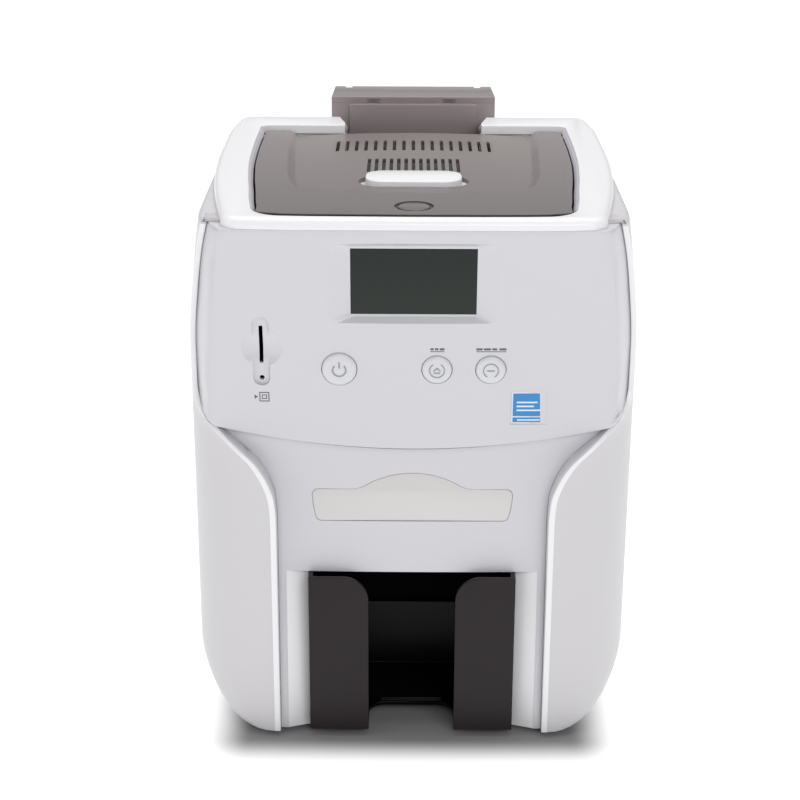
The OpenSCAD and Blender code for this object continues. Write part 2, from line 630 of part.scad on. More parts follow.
// Height of the sloping top of the hopper walls at a distance back
function wall_top_z(d) = hopper_top - lid_t - (d - hopper_front_d) * tan(lid_slope);
lid_pin_d = hopper_back_d - 3.2;
lid_pin_z = wall_top_z(lid_pin_d) + 0.4;
lid_pin_r = 1.2;
neck_x = 35.4;
module hopper_side(t) translate([hopper_front_d + t, deck_z]) polygon([[0, 0], [hopper_d - 2 * t, 0],
    [hopper_d - 2 * t, wall_top_z(hopper_back_d - t) - deck_z],
        [0, wall_top_z(hopper_front_d + t) - deck_z]]);
module hopper_body() color(smoke) {
    difference() {
        union() {
            profile(-hopper_x, hopper_x) hopper_side(0);
            block(-neck_x, neck_x, upper_rear_d - 2, hopper_front_d + 1, crease_z - 14,
                hopper_top - lid_t - 0.6);
        }
        block(-hopper_x + smoke_wall, hopper_x - smoke_wall, hopper_front_d + smoke_wall,
            hopper_back_d - smoke_wall,
            path_z, big);
        // card exit at the foot of the front wall, pick roller window, hinge clearance at the top
        block(-hopper_x + smoke_wall, hopper_x - smoke_wall, hopper_front_d - 1,
            hopper_front_d + smoke_wall + 1,
            path_z, path_z + 2.2);
        block(-pick_window, pick_window, pick_d - pick_window, pick_d + pick_window, deck_z - 1,
            path_z + 1);
        block(-hopper_x - 1, hopper_x + 1, lid_pin_d - 3.2, hopper_back_d + 1, lid_pin_z - 4.2, big);
    }
    // ears that carry the lid pins
    for (s = [-1, 1]) difference() {
        union() {
            bar_pair(2.3, s, 36, 39, lid_pin_d, lid_pin_z);
            block_pair(s, 36, 39, lid_pin_d - 2.3, lid_pin_d + 2.3, lid_pin_z - 6, lid_pin_z);
        }
        bar_pair(lid_pin_r + run_gap, s, 35, 40, lid_pin_d, lid_pin_z);
    }
}
module hopper_lid() color(smoke) {
    difference() {
        union() {
            profile(-hopper_x, hopper_x) polygon([[hopper_front_d, wall_top_z(hopper_front_d)],
                [lid_pin_d, wall_top_z(lid_pin_d)], [lid_pin_d, wall_top_z(lid_pin_d) + lid_t],
                [hopper_front_d, hopper_top]]);
            bar(2.3, -hopper_x, hopper_x, lid_pin_d, lid_pin_z);
            bar(lid_t - 0.4, -hopper_x, hopper_x, lid_pin_d, lid_pin_z);
        }
        // gaps around the ears of the hopper, and two finger grips at the front edge
        for (s = [-1, 1]) block_pair(s, 35.6, 39.4, lid_pin_d - 6, hopper_back_d + 2, deck_z, big);
        for (x = [-22, 20]) at(x, hopper_front_d - 3.2, wall_top_z(hopper_front_d) - 1)
            cylinder(r = 5, h = 3, $fn = 48);
    }
    for (s = [-1, 1]) bar_pair(lid_pin_r, s, 34, 41, lid_pin_d, lid_pin_z);
}
module card_weight() color([0.45, 0.45, 0.47]) {
    difference() {
        block(-hopper_x + smoke_wall + 0.6, hopper_x - smoke_wall - 0.6, hopper_front_d + smoke_wall + 0.6,
            hopper_back_d - smoke_wall - 0.6, path_z, path_z + 9);
        block(-pick_window - 1, pick_window + 1, hopper_front_d, pick_d + pick_window + 4, path_z - 1,
            path_z + 3);
        block(-38, 38, hopper_front_d + 8, hopper_back_d - 8, path_z + 6, path_z + 10);
    }
    block(-8, 8, hopper_front_d + 27, hopper_front_d + 31, path_z + 5, path_z + 22);
}

// ---- transport ----
plate_x = plate_gap / 2;
out_x = plate_x + plate_t;
plate_top = 238;
plate_end_d = body_d - 16;
psu_l = 78;
pick_window = 14;
guide_x = 46;
roller_z = path_z - roller_r;
platen_d = 135;
pick_d = upper_rear_d + 16;
pick_z = 159.5;
pick_r = path_z - 0.2 - pick_z;
clean_r = 7;
pinch_r = 6;
card_gap = 0.8;
clean_z = path_z + card_gap + clean_r;
pinch_z = path_z + card_gap + pinch_r;
supply_z = 216;
takeup_z = 212;
head_pivot_z = 198;
head_z = path_z + 11;
gear_n = 24;
idler_n = 21;
pinion_n = 12;
gear_pitch_d = gear_m * (gear_n + idler_n) / 2;
exit_d = platen_d - 2 * gear_pitch_d;
feed_d = platen_d + 2 * gear_pitch_d;
motor_d = platen_d + gear_pitch_d;
supply_d = feed_d;
takeup_d = exit_d + 10;
head_pivot_d = platen_d + 25;
guide_front_d = exit_d - 28;
low_z = roller_z - gear_m * (idler_n + gear_n) / 2;
motor_z = low_z - gear_m * (gear_n + pinion_n) / 2;
idler_pin_r = 2;
motor_shaft_r = 2.5;
gear_x0 = -out_x - 7.5;
gear_x1 = -out_x - 1.5;
belt_x0 = out_x + 2;
belt_x1 = out_x + 6;
pulley_r = 6;

module side_plate(s) {
    x0 = s > 0 ? plate_x : -out_x;
    x1 = s > 0 ? out_x : -plate_x;
    difference() {
        union() {
            profile(x0, x1) polygon([[22, foot_h + 3], [plate_end_d, foot_h + 3],
                [plate_end_d, deck_z - wall - 0.6],
                [upper_rear_d - 6, deck_z - wall - 0.6], [upper_rear_d - 6, plate_top - 16],
                [upper_rear_d - 22, plate_top], [36, plate_top], [22, plate_top - 14]]);
            block_pair(s, plate_x - 9, plate_x, bay_d + 6, psu_front_d - 2, foot_h + 3,
                foot_h + 3 + plate_t);
        }
        for (p = [[exit_d, roller_z], [platen_d, roller_z], [feed_d, roller_z], [pick_d, pick_z],
            [feed_d, clean_z],
            [exit_d, pinch_z], [supply_d, supply_z], [takeup_d, takeup_z], [head_pivot_d, head_pivot_z]])
            bar(shaft_r + run_gap, x0 - 1, x1 + 1, p[0], p[1]);
        if (s < 0) bar(motor_shaft_r + 1.5, x0 - 1, x1 + 1, motor_d, motor_z);
        // lightening windows
        for (d = [60, 110, upper_rear_d - 14]) block(x0 - 1, x1 + 1, d, d + 26, 30, 92);
    }
}
module chassis_right() color(steel) side_plate(1);
module chassis_left() color(steel) {
    side_plate(-1);
    for (p = [[exit_d + gear_pitch_d, roller_z], [motor_d, roller_z], [motor_d, low_z]])
        bar(idler_pin_r, gear_x0 - 0.5, -plate_x - 0.5, p[0], p[1]);
}
module strike_bar() color(steel) {
    block(-plate_x, plate_x, latch_d + 5, latch_d + 15, latch_z - 11.5, latch_z - 9.9);
    block(-plate_x, plate_x, latch_d + 13.4, latch_d + 15, latch_z - 22, latch_z - 11);
}
module card_guide() color([0.3, 0.3, 0.32]) {
    difference() {
        union() {
            block(-guide_x, guide_x, guide_front_d, upper_rear_d - 6, path_z - 2.4, path_z - 0.4);
            for (d = [exit_d + 15, upper_rear_d - 32])
                block(-plate_x, plate_x, d, d + 12, path_z - 2.4, path_z - 0.4);
            profile(-guide_x, guide_x) polygon([[guide_front_d, path_z - 1],
                [guide_front_d - 1.5, mouth_top + 6.3],
                [guide_front_d, mouth_top + 6.3], [guide_front_d + 1.5, path_z - 1]]);
        }
        for (d = [exit_d, platen_d, feed_d]) block(-41, 41, d - 6.8, d + 6.8, path_z - 4, path_z + 1);
    }
}
// Roller on a shaft through both side plates
module roller(r, half_l, d, z) {
    bar(shaft_r, -out_x - 1, out_x + 1, d, z);
    bar(r, -half_l, half_l, d, z);
}
// Spur gear outline about the origin: n teeth, the first one centred on the angle phase
tooth = [[-0.27, -1.25], [-0.22, 0], [-0.11, 0.85], [0.11, 0.85], [0.22, 0], [0.27, -1.25]];
function gear_points(n, phase) = [for (i = [0:n - 1]) for (k = tooth)
    let(a = phase + (i + k[0]) * 360 / n, r = gear_m * (n / 2 + k[1])) [r * cos(a), r * sin(a)]];
// Phase of a gear of nb teeth that meshes with one of na teeth and phase pa, in the direction theta
function fraction(v) = v - floor(v);
function mesh(pa, na, theta, nb) = theta + 180 + (0.5 - fraction((pa - theta) * na / 360)) * 360 / nb;
front_idler_phase = mesh(0, gear_n, 0, idler_n);
platen_phase = mesh(front_idler_phase, idler_n, 0, gear_n);
rear_idler_phase = mesh(platen_phase, gear_n, 0, idler_n);
feed_phase = mesh(rear_idler_phase, idler_n, 0, gear_n);
low_phase = mesh(rear_idler_phase, idler_n, -90, gear_n);
pinion_phase = mesh(low_phase, gear_n, -90, pinion_n);
module gear(n, phase, d, z, bore) difference() {
    profile(gear_x0, gear_x1) translate([d, z]) polygon(gear_points(n, phase));
    if (bore > 0) bar(bore, gear_x0 - 1, gear_x1 + 1, d, z);
}
module geared_roller(d, phase) {
    roller(roller_r, 40, d, roller_z);
    bar(shaft_r, gear_x0, -plate_x, d, roller_z);
    gear(gear_n, phase, d, roller_z, 0);
}
module platen_roller() color(black) geared_roller(platen_d, platen_phase);
module exit_roller() color(black) geared_roller(exit_d, 0);
module feed_roller() color(black) {
    geared_roller(feed_d, feed_phase);
    bar(shaft_r, plate_x, belt_x1, feed_d, roller_z);
    bar(pulley_r, belt_x0, belt_x1, feed_d, roller_z);
}
module pick_roller() color(black) {
    bar(shaft_r, -out_x - 1, belt_x1, pick_d, pick_z);
    bar(pick_r, -11, 11, pick_d, pick_z);
    bar(pulley_r, belt_x0, belt_x1, pick_d, pick_z);
}
module cleaning_roller() color([0.3, 0.5, 0.8]) roller(clean_r, 42, feed_d, clean_z);
module exit_pinch_roller() color(black) roller(pinch_r, 36, exit_d, pinch_z);
module spool(r, d, z) {
    bar(shaft_r, -out_x - 1, out_x + 1, d, z);
    bar(7, -58, 58, d, z);
    bar(r, -44, 44, d, z);
}
supply_r = 15;
takeup_r = 11;
module supply_spool() color([0.15, 0.15, 0.4]) spool(supply_r, supply_d, supply_z);
module takeup_spool() color([0.15, 0.15, 0.4]) spool(takeup_r, takeup_d, takeup_z);
// Film from one roll under the print head to the other, as a thin band
film_t = 0.4;
film_line = [[supply_d - 10.5, supply_z - supply_r + 3.4], [platen_d + 12.5, head_z - 4.4],
    [platen_d + 5, head_z - 8.6],
    [platen_d - 5, head_z - 8.6], [platen_d - 12.5, head_z - 4.4], [takeup_d + 9.5, takeup_z - 7]];
module ribbon_film() color([0.2, 0.2, 0.5]) profile(-43, 43) polygon(concat(film_line,
    [for (i = [len(film_line) - 1:-1:0]) film_line[i] - [0, film_t]]));
module head_bracket() color(steel) {
    for (s = [-1, 1]) {
        profile(s > 0 ? 48 : -50, s > 0 ? 50 : -48) hull() {
            translate([head_pivot_d, head_pivot_z]) circle(r = 6, $fn = 48);
            translate([platen_d - 5, head_z]) square([10, 13]);
        }
        bar_pair(shaft_r, s, 49, out_x + 1, head_pivot_d, head_pivot_z);
    }
    block(-48.5, 48.5, platen_d - 5, platen_d + 5, head_z, head_z + 2);
    block(-48.5, 48.5, platen_d - 5, platen_d - 3, head_z, head_z + 13);
    for (i = [0:8]) block(i * 10.5 - 44, i * 10.5 - 42.5, platen_d - 4, platen_d + 5, head_z + 1,
        head_z + 12);
}
module print_head() color([0.8, 0.8, 0.82]) {
    block(-46, 46, platen_d - 4.5, platen_d + 4.5, head_z - 4.4, head_z);
    block(-44, 44, platen_d - 2, platen_d + 2, head_z - 8, head_z - 4.3);
}
module drive_motor() color(steel) difference() {
    union() {
        block(-plate_x, -plate_x + 30, motor_d - 17.5, motor_d + 17.5, motor_z - 17.5, motor_z + 17.5);
        bar(11, -plate_x + 30, -plate_x + 32, motor_d, motor_z);
    }
    bar(motor_shaft_r + run_gap, -plate_x - 1, -plate_x + 20, motor_d, motor_z);
}
module motor_pinion() color([0.85, 0.75, 0.4]) {
    gear(pinion_n, pinion_phase, motor_d, motor_z, 0);
    bar(motor_shaft_r, gear_x0, -plate_x + 18, motor_d, motor_z);
}
module idler(n, phase, d, z) color(white) gear(n, phase, d, z, idler_pin_r + run_gap);
module idler_front() idler(idler_n, front_idler_phase, exit_d + gear_pitch_d, roller_z);
module idler_rear() idler(idler_n, rear_idler_phase, motor_d, roller_z);
module idler_low() idler(gear_n, low_phase, motor_d, low_z);
module belt_loop(r) hull() {
    translate([feed_d, roller_z]) circle(r = r, $fn = 64);
    translate([pick_d, pick_z]) circle(r = r, $fn = 64);
}
module drive_belt() color(black) profile(belt_x0 + 0.3, belt_x1 - 0.3) difference() {
    belt_loop(pulley_r + 1.4);
    belt_loop(pulley_r + 0.2);
}

// ---- electronics ----
board_x = out_x + 9;
module main_board() color([0.1, 0.4, 0.2]) {
    block(board_x, board_x + 1.6, 56, 206, 34, 150);
    for (d = [62, 200], z = [40, 144]) bar(3, out_x, board_x, d, z);
    for (p = [[80, 60, 26], [120, 100, 34], [170, 70, 22]]) at(board_x + 1.5, p[0], p[1])
        cube([3.5, p[2], p[2]]);
}
module power_supply() color([0.6, 0.6, 0.62]) block(-58, 20, psu_front_d, inlet_front_d, foot_h + 3, 58);
fan_x = 38;
fan_z = 108;
fan_w = 40;
module fan_frame() color(black) {
    difference() {
        at(fan_x - fan_w / 2, body_d - wall - 10, fan_z - fan_w / 2) cube([fan_w, 10, fan_w]);
        at(fan_x, body_d - wall - 11, fan_z) rotate([-90, 0, 0]) cylinder(r = 18.5, h = 12, $fn = 96);
    }
    for (a = [90, 210, 330]) at(fan_x, body_d - wall - 1.5, fan_z) rotate([0, a, 0])
        translate([0, 0, -1]) cube([19, 1.5, 2]);
    at(fan_x, body_d - wall - 9, fan_z) rotate([-90, 0, 0]) cylinder(r = 1.5, h = 9, $fn = 48);
    at(fan_x, body_d - wall - 1.5, fan_z) rotate([-90, 0, 0]) cylinder(r = 8, h = 1.5, $fn = 48);
}
module fan_rotor() color([0.2, 0.2, 0.22]) difference() {
    union() {
        at(fan_x, body_d - wall - 9, fan_z) rotate([-90, 0, 0]) cylinder(r = 9, h = 7, $fn = 64);
        for (a = [0:60:300]) at(fan_x, body_d - wall - 8, fan_z) rotate([0, a, 0])
            translate([8, 0, 0]) rotate([35, 0, 0]) translate([0, 0, -0.5]) cube([9.5, 6, 1]);
    }
    at(fan_x, body_d - wall - 10, fan_z) rotate([-90, 0, 0]) cylinder(r = 1.5 + run_gap, h = 10, $fn = 48);
}
inlet_x = -42;
inlet_z = 40;
inlet_w = 28;
inlet_h = 20;
inlet_l = 22;
inlet_front_d = body_d - inlet_l;
psu_front_d = inlet_front_d - psu_l;
switch_x = -14;
switch_d = body_d - 6;
module power_inlet() color(black) {
    difference() {
        block(inlet_x - inlet_w / 2 + 0.2, inlet_x + inlet_w / 2 - 0.2, inlet_front_d, body_d - 0.5,
            inlet_z - inlet_h / 2 + 0.2, inlet_z + inlet_h / 2 - 0.2);
        block(inlet_x - 11, inlet_x + 11, body_d - 15, body_d, inlet_z - 7, inlet_z + 7);
    }
    block(inlet_x + inlet_w / 2 - 1, switch_x - 6.9, inlet_front_d, body_d - wall - 0.3, inlet_z - 9,
        inlet_z + 9);
    // three contact blades, the middle one lower
    for (p = [[-6, 1], [0, -3], [6, 1]]) at(inlet_x + p[0] - 1, body_d - 16, inlet_z + p[1])
        cube([2, 13, 4]);
    difference() {
        block(switch_x - 7, switch_x + 7, inlet_front_d, body_d - 0.5, inlet_z - 10, inlet_z + 10);
        block(switch_x - 5.8, switch_x + 5.8, switch_d - 7, body_d, inlet_z - 8.8, inlet_z + 8.8);
        bar(1.5, switch_x - 6.6, switch_x + 6.6, switch_d, inlet_z);
    }
}
module power_switch() color([0.15, 0.15, 0.16]) {
    profile(switch_x - 5.4, switch_x + 5.4) translate([switch_d, inlet_z])
        polygon([[-3, -4], [3.6, -7.8], [5.6, -7.8], [3.6, 0], [5.6, 7.8], [3.6, 7.8], [-3, 4]]);
    bar(1.45, switch_x - 6.5, switch_x + 6.5, switch_d, inlet_z);
}
usb_x = 12;
net_x = 38;
port_z = 40;
module usb_port() color(steel) difference() {
    block(usb_x - 6.2, usb_x + 6.2, body_d - 18, body_d - 0.5, port_z - 5.7, port_z + 5.7);
    block(usb_x - 4.2, usb_x + 4.2, body_d - 12, body_d, port_z - 3.8, port_z + 3.8);
}
module network_port() color(steel) difference() {
    block(net_x - 7.9, net_x + 7.9, body_d - 18, body_d - 0.5, port_z - 6.7, port_z + 6.7);
    block(net_x - 5.9, net_x + 5.9, body_d - 14, body_d, port_z - 3.5, port_z + 3.5);
}

base_tray();
foot(-foot_x, foot_front_d);  // foot_front_left
foot(foot_x, foot_front_d);  // foot_front_right
foot(-foot_x, foot_rear_d);  // foot_rear_left
foot(foot_x, foot_rear_d);  // foot_rear_right
bay_liner();
top_rim();
front_panel();
lower_front_panel();
label_plate();
mirror([1, 0, 0]) side_cover();  // side_cover_left
side_cover();  // side_cover_right
rear_cover();
lcd_window();
lcd_module();
control_board();
power_button();
eject_button();
ribbon_button();
card_reader();
sticker();
chassis_left();
chassis_right();
strike_bar();
card_guide();
top_cover();
release_button();
lock_button();
latch_hook();
hinge_pin(-1);  // hinge_pin_left
hinge_pin(1);  // hinge_pin_right
stacker();
hopper_body();
hopper_lid();
card_weight();
head_bracket();
print_head();
platen_roller();
exit_roller();
feed_roller();
pick_roller();
cleaning_roller();
exit_pinch_roller();
supply_spool();
takeup_spool();
ribbon_film();
drive_motor();
motor_pinion();
idler_low();
idler_front();
idler_rear();
drive_belt();
main_board();
power_supply();
fan_frame();
fan_rotor();
power_inlet();
power_switch();
usb_port();
network_port();
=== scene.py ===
import bpy, bmesh, math
from mathutils import Matrix, Vector


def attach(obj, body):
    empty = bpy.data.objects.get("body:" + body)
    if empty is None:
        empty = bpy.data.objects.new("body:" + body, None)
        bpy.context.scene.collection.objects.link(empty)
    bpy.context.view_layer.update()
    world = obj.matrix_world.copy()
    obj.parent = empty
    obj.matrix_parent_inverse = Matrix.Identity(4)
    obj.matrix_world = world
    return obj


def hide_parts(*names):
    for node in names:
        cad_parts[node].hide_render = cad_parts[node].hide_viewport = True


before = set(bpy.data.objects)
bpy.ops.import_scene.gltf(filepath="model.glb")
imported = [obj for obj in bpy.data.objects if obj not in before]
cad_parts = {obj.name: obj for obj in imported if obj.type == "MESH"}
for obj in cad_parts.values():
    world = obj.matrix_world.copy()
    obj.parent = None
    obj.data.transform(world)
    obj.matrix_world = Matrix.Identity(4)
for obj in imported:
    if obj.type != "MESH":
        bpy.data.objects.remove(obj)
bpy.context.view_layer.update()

# sizes in millimetres; d is the distance back from the front plane, z the height
case = dict(halfWidth=107.5, depth=288, foot=2.5, rimTop=259.5, crease=254.5, deck=172, rearWall=228,
            seam=147.5, waist=9.5, toe=2.5, wingFoot=63.5, gap=0.3, wingGap=0.1)


def point(x, d, z):
    return Vector((x, d - case["depth"] / 2, z)) * 0.001


# smooth curve through (t, value) pairs, without overshoot
def smoothCurve(keys):
    ts = [k[0] for k in keys]
    vs = [k[1] for k in keys]
    steps = [(vs[i + 1] - vs[i]) / (ts[i + 1] - ts[i]) for i in range(len(keys) - 1)]
    inner = [2 * a * b / (a + b) if a * b > 0 else 0 for a, b in zip(steps, steps[1:])]
    slopes = [steps[0]] + inner + [steps[-1]]

    def at(t):
        t = min(max(t, ts[0]), ts[-1])
        i = max(k for k in range(len(ts) - 1) if ts[k] <= t)
        h = ts[i + 1] - ts[i]
        u = (t - ts[i]) / h
        return ((1 + 2 * u) * (1 - u) ** 2 * vs[i] + u * (1 - u) ** 2 * h * slopes[i]
                + u * u * (3 - 2 * u) * vs[i + 1] + u * u * (u - 1) * h * slopes[i + 1])
    return at


def softMax(a, b, k):
    return max(a, b) + max(k - abs(a - b), 0) ** 2 / (4 * k)


def unit(t):
    return min(max(t, 0), 1)


# ---- shader tools ----
class Value:
    def __init__(self, finish, socket):
        self.finish, self.socket = finish, socket

    def op(self, operation, a, b=0):
        return self.finish.node("ShaderNodeMath", dict(operation=operation), {0: a, 1: b})["Value"]

    def __add__(self, o): return self.op("ADD", self, o)
    def __sub__(self, o): return self.op("SUBTRACT", self, o)
    def __mul__(self, o): return self.op("MULTIPLY", self, o)
    def __pow__(self, o): return self.op("POWER", self, o)
    def __abs__(self): return self.op("ABSOLUTE", self)
    def atLeast(self, o): return self.op("MAXIMUM", self, o)


class Finish:
    def __init__(self, name, **sockets):
        self.material = bpy.data.materials.new(name)
        self.material.use_nodes = True
        self.tree = self.material.node_tree
        self.shader = self.tree.nodes["Principled BSDF"]
        self.set(sockets)

    def set(self, sockets):
        for key, value in sockets.items():
            self.feed(self.shader.inputs[key], value)

    def feed(self, socket, value):
        if isinstance(value, Value):
            self.tree.links.new(value.socket, socket)
        else:
            socket.default_value = value

    def node(self, kind, settings=None, inputs=None):
        made = self.tree.nodes.new(kind)
        for key, value in (settings or {}).items():
            setattr(made, key, value)
        for key, value in (inputs or {}).items():
            self.feed(made.inputs[key], value)
        return {s.name: Value(self, s) for s in made.outputs if s.enabled}

    def spot(self):
        return self.node("ShaderNodeTexCoord")["Object"]

    def axes(self):
        return self.node("ShaderNodeSeparateXYZ", None, {0: self.spot()})

    # 0 to 1 between two places on one axis, in metres
    def fade(self, axis, start, end):
        ends = {"Value": self.axes()[axis], "From Min": start, "From Max": end}
        return self.node("ShaderNodeMapRange", None, ends)["Result"]

    def noise(self, scale, detail=2.0, vector=None):
        inputs = {"Vector": vector or self.spot(), "Scale": scale, "Detail": detail}
        return self.node("ShaderNodeTexNoise", None, inputs)["Fac"]

    def blend(self, factor, a, b):
        return self.node("ShaderNodeMix", dict(data_type="RGBA"), {0: factor, 6: a, 7: b})["Result"]

    def bump(self, height, strength, distance):
        inputs = {"Strength": strength, "Distance": distance, "Height": height}
        return self.node("ShaderNodeBump", None, inputs)["Normal"]


def shade(colour, k):
    return tuple(min(c * k, 1) for c in colour) + (1.0,)


# moulded plastic: faint flow clouding and a fine eroded grain
def moulded(name, colour, rough, coat=0.0, grain=0.25, cloud=0.008):
    f = Finish(name)
    clouds = f.noise(9, 1)
    f.set({"Base Color": f.blend(clouds, shade(colour, 1 - cloud), shade(colour, 1 + cloud)),
           "Roughness": rough, "Coat Weight": coat, "Coat Roughness": 0.08,
           "Normal": f.bump(f.noise(2200, 2), grain, 0.00003)})
    return f.material


# near-black wall with hardly any shine, partly the dark plastic there and partly painted shade: it stands in for the
# deep shade in the stacker bay and under the top cover's front edge
def dull(name, colour):
    f = Finish(name)
    f.set({"Base Color": f.blend(f.noise(60, 2), shade(colour, 0.8), shade(colour, 1.4)),
           "Roughness": 0.8, "Specular IOR Level": 0.05})
    return f.material


# rolled or brushed sheet: long fine streaks along one axis
def brushed(name, colour, rough, stretch=(8, 900, 900)):
    f = Finish(name)
    along = f.node("ShaderNodeMapping", None, {"Vector": f.spot(), "Scale": stretch})["Vector"]
    lines = f.noise(1, 4, along)
    f.set({"Base Color": f.blend(lines, shade(colour, 0.88), shade(colour, 1.05)), "Metallic": 1.0,
           "Roughness": lines * 0.18 + (rough - 0.09), "Normal": f.bump(lines, 0.15, 0.00002)})
    return f.material


# rubber: dull, with a soft mottled bloom
def rubbery(name, colour):
    f = Finish(name)
    bloom = f.noise(120, 4)
    f.set({"Base Color": f.blend(bloom, shade(colour, 0.8), shade(colour, 1.5)),
           "Roughness": bloom * 0.2 + 0.62, "Normal": f.bump(f.noise(1500, 2), 0.35, 0.00004)})
    return f.material


# solder mask with a lattice of copper tracks under it
def circuit(name):
    f = Finish(name)
    mask, raised, copper = (0.01, 0.1, 0.035, 1), (0.014, 0.13, 0.05, 1), (0.05, 0.24, 0.1, 1)
    tracks = f.node("ShaderNodeTexBrick", dict(offset=0.5), {
        "Vector": f.spot(), "Scale": 260.0, "Mortar Size": 0.03, "Color1": mask, "Color2": raised, "Mortar": copper})
    f.set({"Base Color": tracks["Color"], "Roughness": tracks["Fac"] * 0.15 + 0.3})
    return f.material


# wound print film: tight rings of gloss round the roll
def filmRoll(name):
    f = Finish(name)
    inputs = {"Vector": f.spot(), "Scale": 900.0, "Distortion": 0.6}
    rings = f.node("ShaderNodeTexWave", dict(bands_direction="X"), inputs)["Fac"]
    f.set({"Base Color": f.blend(rings, (0.012, 0.012, 0.035, 1), (0.03, 0.03, 0.075, 1)),
           "Roughness": rings * 0.12 + 0.18})
    return f.material


# dark display window with a faint vertical fall in tone
def displayGlass(name):
    f = Finish(name)
    fall = f.fade("Z", 0.214, 0.246)
    f.set({"Base Color": f.blend(fall, (0.026, 0.033, 0.029, 1), (0.018, 0.024, 0.021, 1)),
           "Roughness": f.noise(40, 2) * 0.04 + 0.2, "Specular IOR Level": 0.2})
    return f.material


# smoke plastic with painted light: its colour fades from a near to a far place, lighter where more light comes through
def smokedPaintedLight(name, reach, nearTone, farTone):
    f = Finish(name)
    f.set({"Base Color": f.blend(f.fade("Y", *reach), nearTone + (1.0,), farTone + (1.0,)),
           "Roughness": 0.3, "Coat Weight": 0.15, "Coat Roughness": 0.08,
           "Normal": f.bump(f.noise(2200, 2), 0.08, 0.00003)})
    return f.material


# dark smoke plastic with painted shade: the flaps are lighter, and the pocket behind them is painted near black for
# the shade it lies in
def stackerSmokePaintedShade(name):
    f = Finish(name)
    # painted shade: lighter flaps at the front, near black behind them
    f.set({"Base Color": f.blend(f.fade("Y", -0.137, -0.128), (0.026, 0.021, 0.022, 1), (0.001, 0.001, 0.001, 1)),
           "Roughness": f.noise(30, 2) * 0.05 + 0.3, "Specular IOR Level": 0.16,
           "Normal": f.bump(f.noise(1800, 2), 0.1, 0.00002)})
    return f.material


looks = dict(
    rim=moulded("rimWhite", (0.89, 0.885, 0.90), rough=0.34, coat=0.25, grain=0.08),
    front=moulded("frontWhite", (0.64, 0.637, 0.674), rough=0.27, coat=0.3, grain=0.06, cloud=0.004),
    side=moulded("sideWhite", (0.645, 0.63, 0.65), rough=0.36, coat=0.1, grain=0.15),
    lining=moulded("rimLining", (0.47, 0.45, 0.50), rough=0.3, coat=0.2, grain=0.1),
    rear=moulded("rearWhite", (0.64, 0.63, 0.65), rough=0.42, grain=0.3),
    button=moulded("buttonWhite", (0.68, 0.68, 0.71), rough=0.33, coat=0.2, grain=0.1),
    # painted shade and light: the top cover is painted darker at its front and lighter towards the back
    smoke=smokedPaintedLight("smokeGloss", (-0.139, 0.055), (0.122, 0.101, 0.099), (0.222, 0.188, 0.181)),
    # painted light: the hopper's front wall is painted lighter than the rest, for the light that falls on it
    smokeHopper=smokedPaintedLight("smokeHopper", (0.085, 0.0875), (0.33, 0.275, 0.28), (0.215, 0.178, 0.178)),
    sign=moulded("signGrey", (0.33, 0.33, 0.36), rough=0.4, grain=0.1),
    stacker=stackerSmokePaintedShade("stackerSmokePaintedShade"),
    black=moulded("blackPlastic", (0.012, 0.012, 0.013), rough=0.55, grain=0.5, cloud=0.1),
    well=dull("wellShadeBlack", (0.003, 0.003, 0.003)),
    ink=moulded("printedInk", (0.12, 0.12, 0.13), rough=0.5, grain=0.1),
    label=moulded("labelCream", (0.68, 0.665, 0.655), rough=0.4, coat=0.05, grain=0.15, cloud=0.01),
    sticker=moulded("stickerBlue", (0.012, 0.23, 0.56), rough=0.25, coat=0.4, grain=0.05, cloud=0.02),
    stickerWhite=moulded("stickerWhite", (0.75, 0.8, 0.85), rough=0.3, coat=0.3, grain=0.05, cloud=0.01),
    nylon=moulded("gearNylon", (0.74, 0.72, 0.66), rough=0.42, grain=0.3, cloud=0.04),
    ceramic=moulded("headCeramic", (0.66, 0.63, 0.57), rough=0.35, coat=0.1, grain=0.2, cloud=0.04),
    rubber=rubbery("rollerRubber", (0.022, 0.022, 0.024)),
    steel=brushed("sheetSteel", (0.60, 0.61, 0.62), 0.36),
    bright=brushed("brightSteel", (0.72, 0.72, 0.74), 0.2, (60, 60, 60)),
    brass=brushed("turnedBrass", (0.72, 0.53, 0.24), 0.28, (900, 40, 40)),
    board=circuit("circuitBoard"),
    film=filmRoll("printFilm"),
    glass=displayGlass("displayGlass"),
)
print("finishes made:", len(looks))


# ---- mesh tools ----
def makeObject(name, bm):
    mesh = bpy.data.meshes.new(name)
    bm.to_mesh(mesh)
    bm.free()
    piece = bpy.data.objects.new(name, mesh)
    bpy.context.collection.objects.link(piece)
    return piece


# adds a modifier and puts what it gives into the mesh itself
def modify(piece, kind, **settings):
    modifier = piece.modifiers.new(kind, kind)
    for key, value in settings.items():
        setattr(modifier, key, value)
    shown = piece.evaluated_get(bpy.context.evaluated_depsgraph_get())
    made = bpy.data.meshes.new_from_object(shown)
    old = piece.data
    piece.modifiers.clear()
    piece.data = made
    bpy.data.meshes.remove(old)
    return piece


def softEdges(piece, width, segments=3, angle=32):
    return modify(piece, "BEVEL", width=width * 0.001, segments=segments, limit_method="ANGLE",
                  angle_limit=math.radians(angle), affect="EDGES", profile=0.5, material=-1)


def thicken(piece, wall, even=False):
    return modify(piece, "SOLIDIFY", thickness=wall * 0.001, offset=-1, use_even_offset=even)


def carve(piece, cutter, operation="DIFFERENCE"):
    modify(piece, "BOOLEAN", operation=operation, object=cutter, solver="EXACT")
    bpy.data.objects.remove(cutter)
    return piece


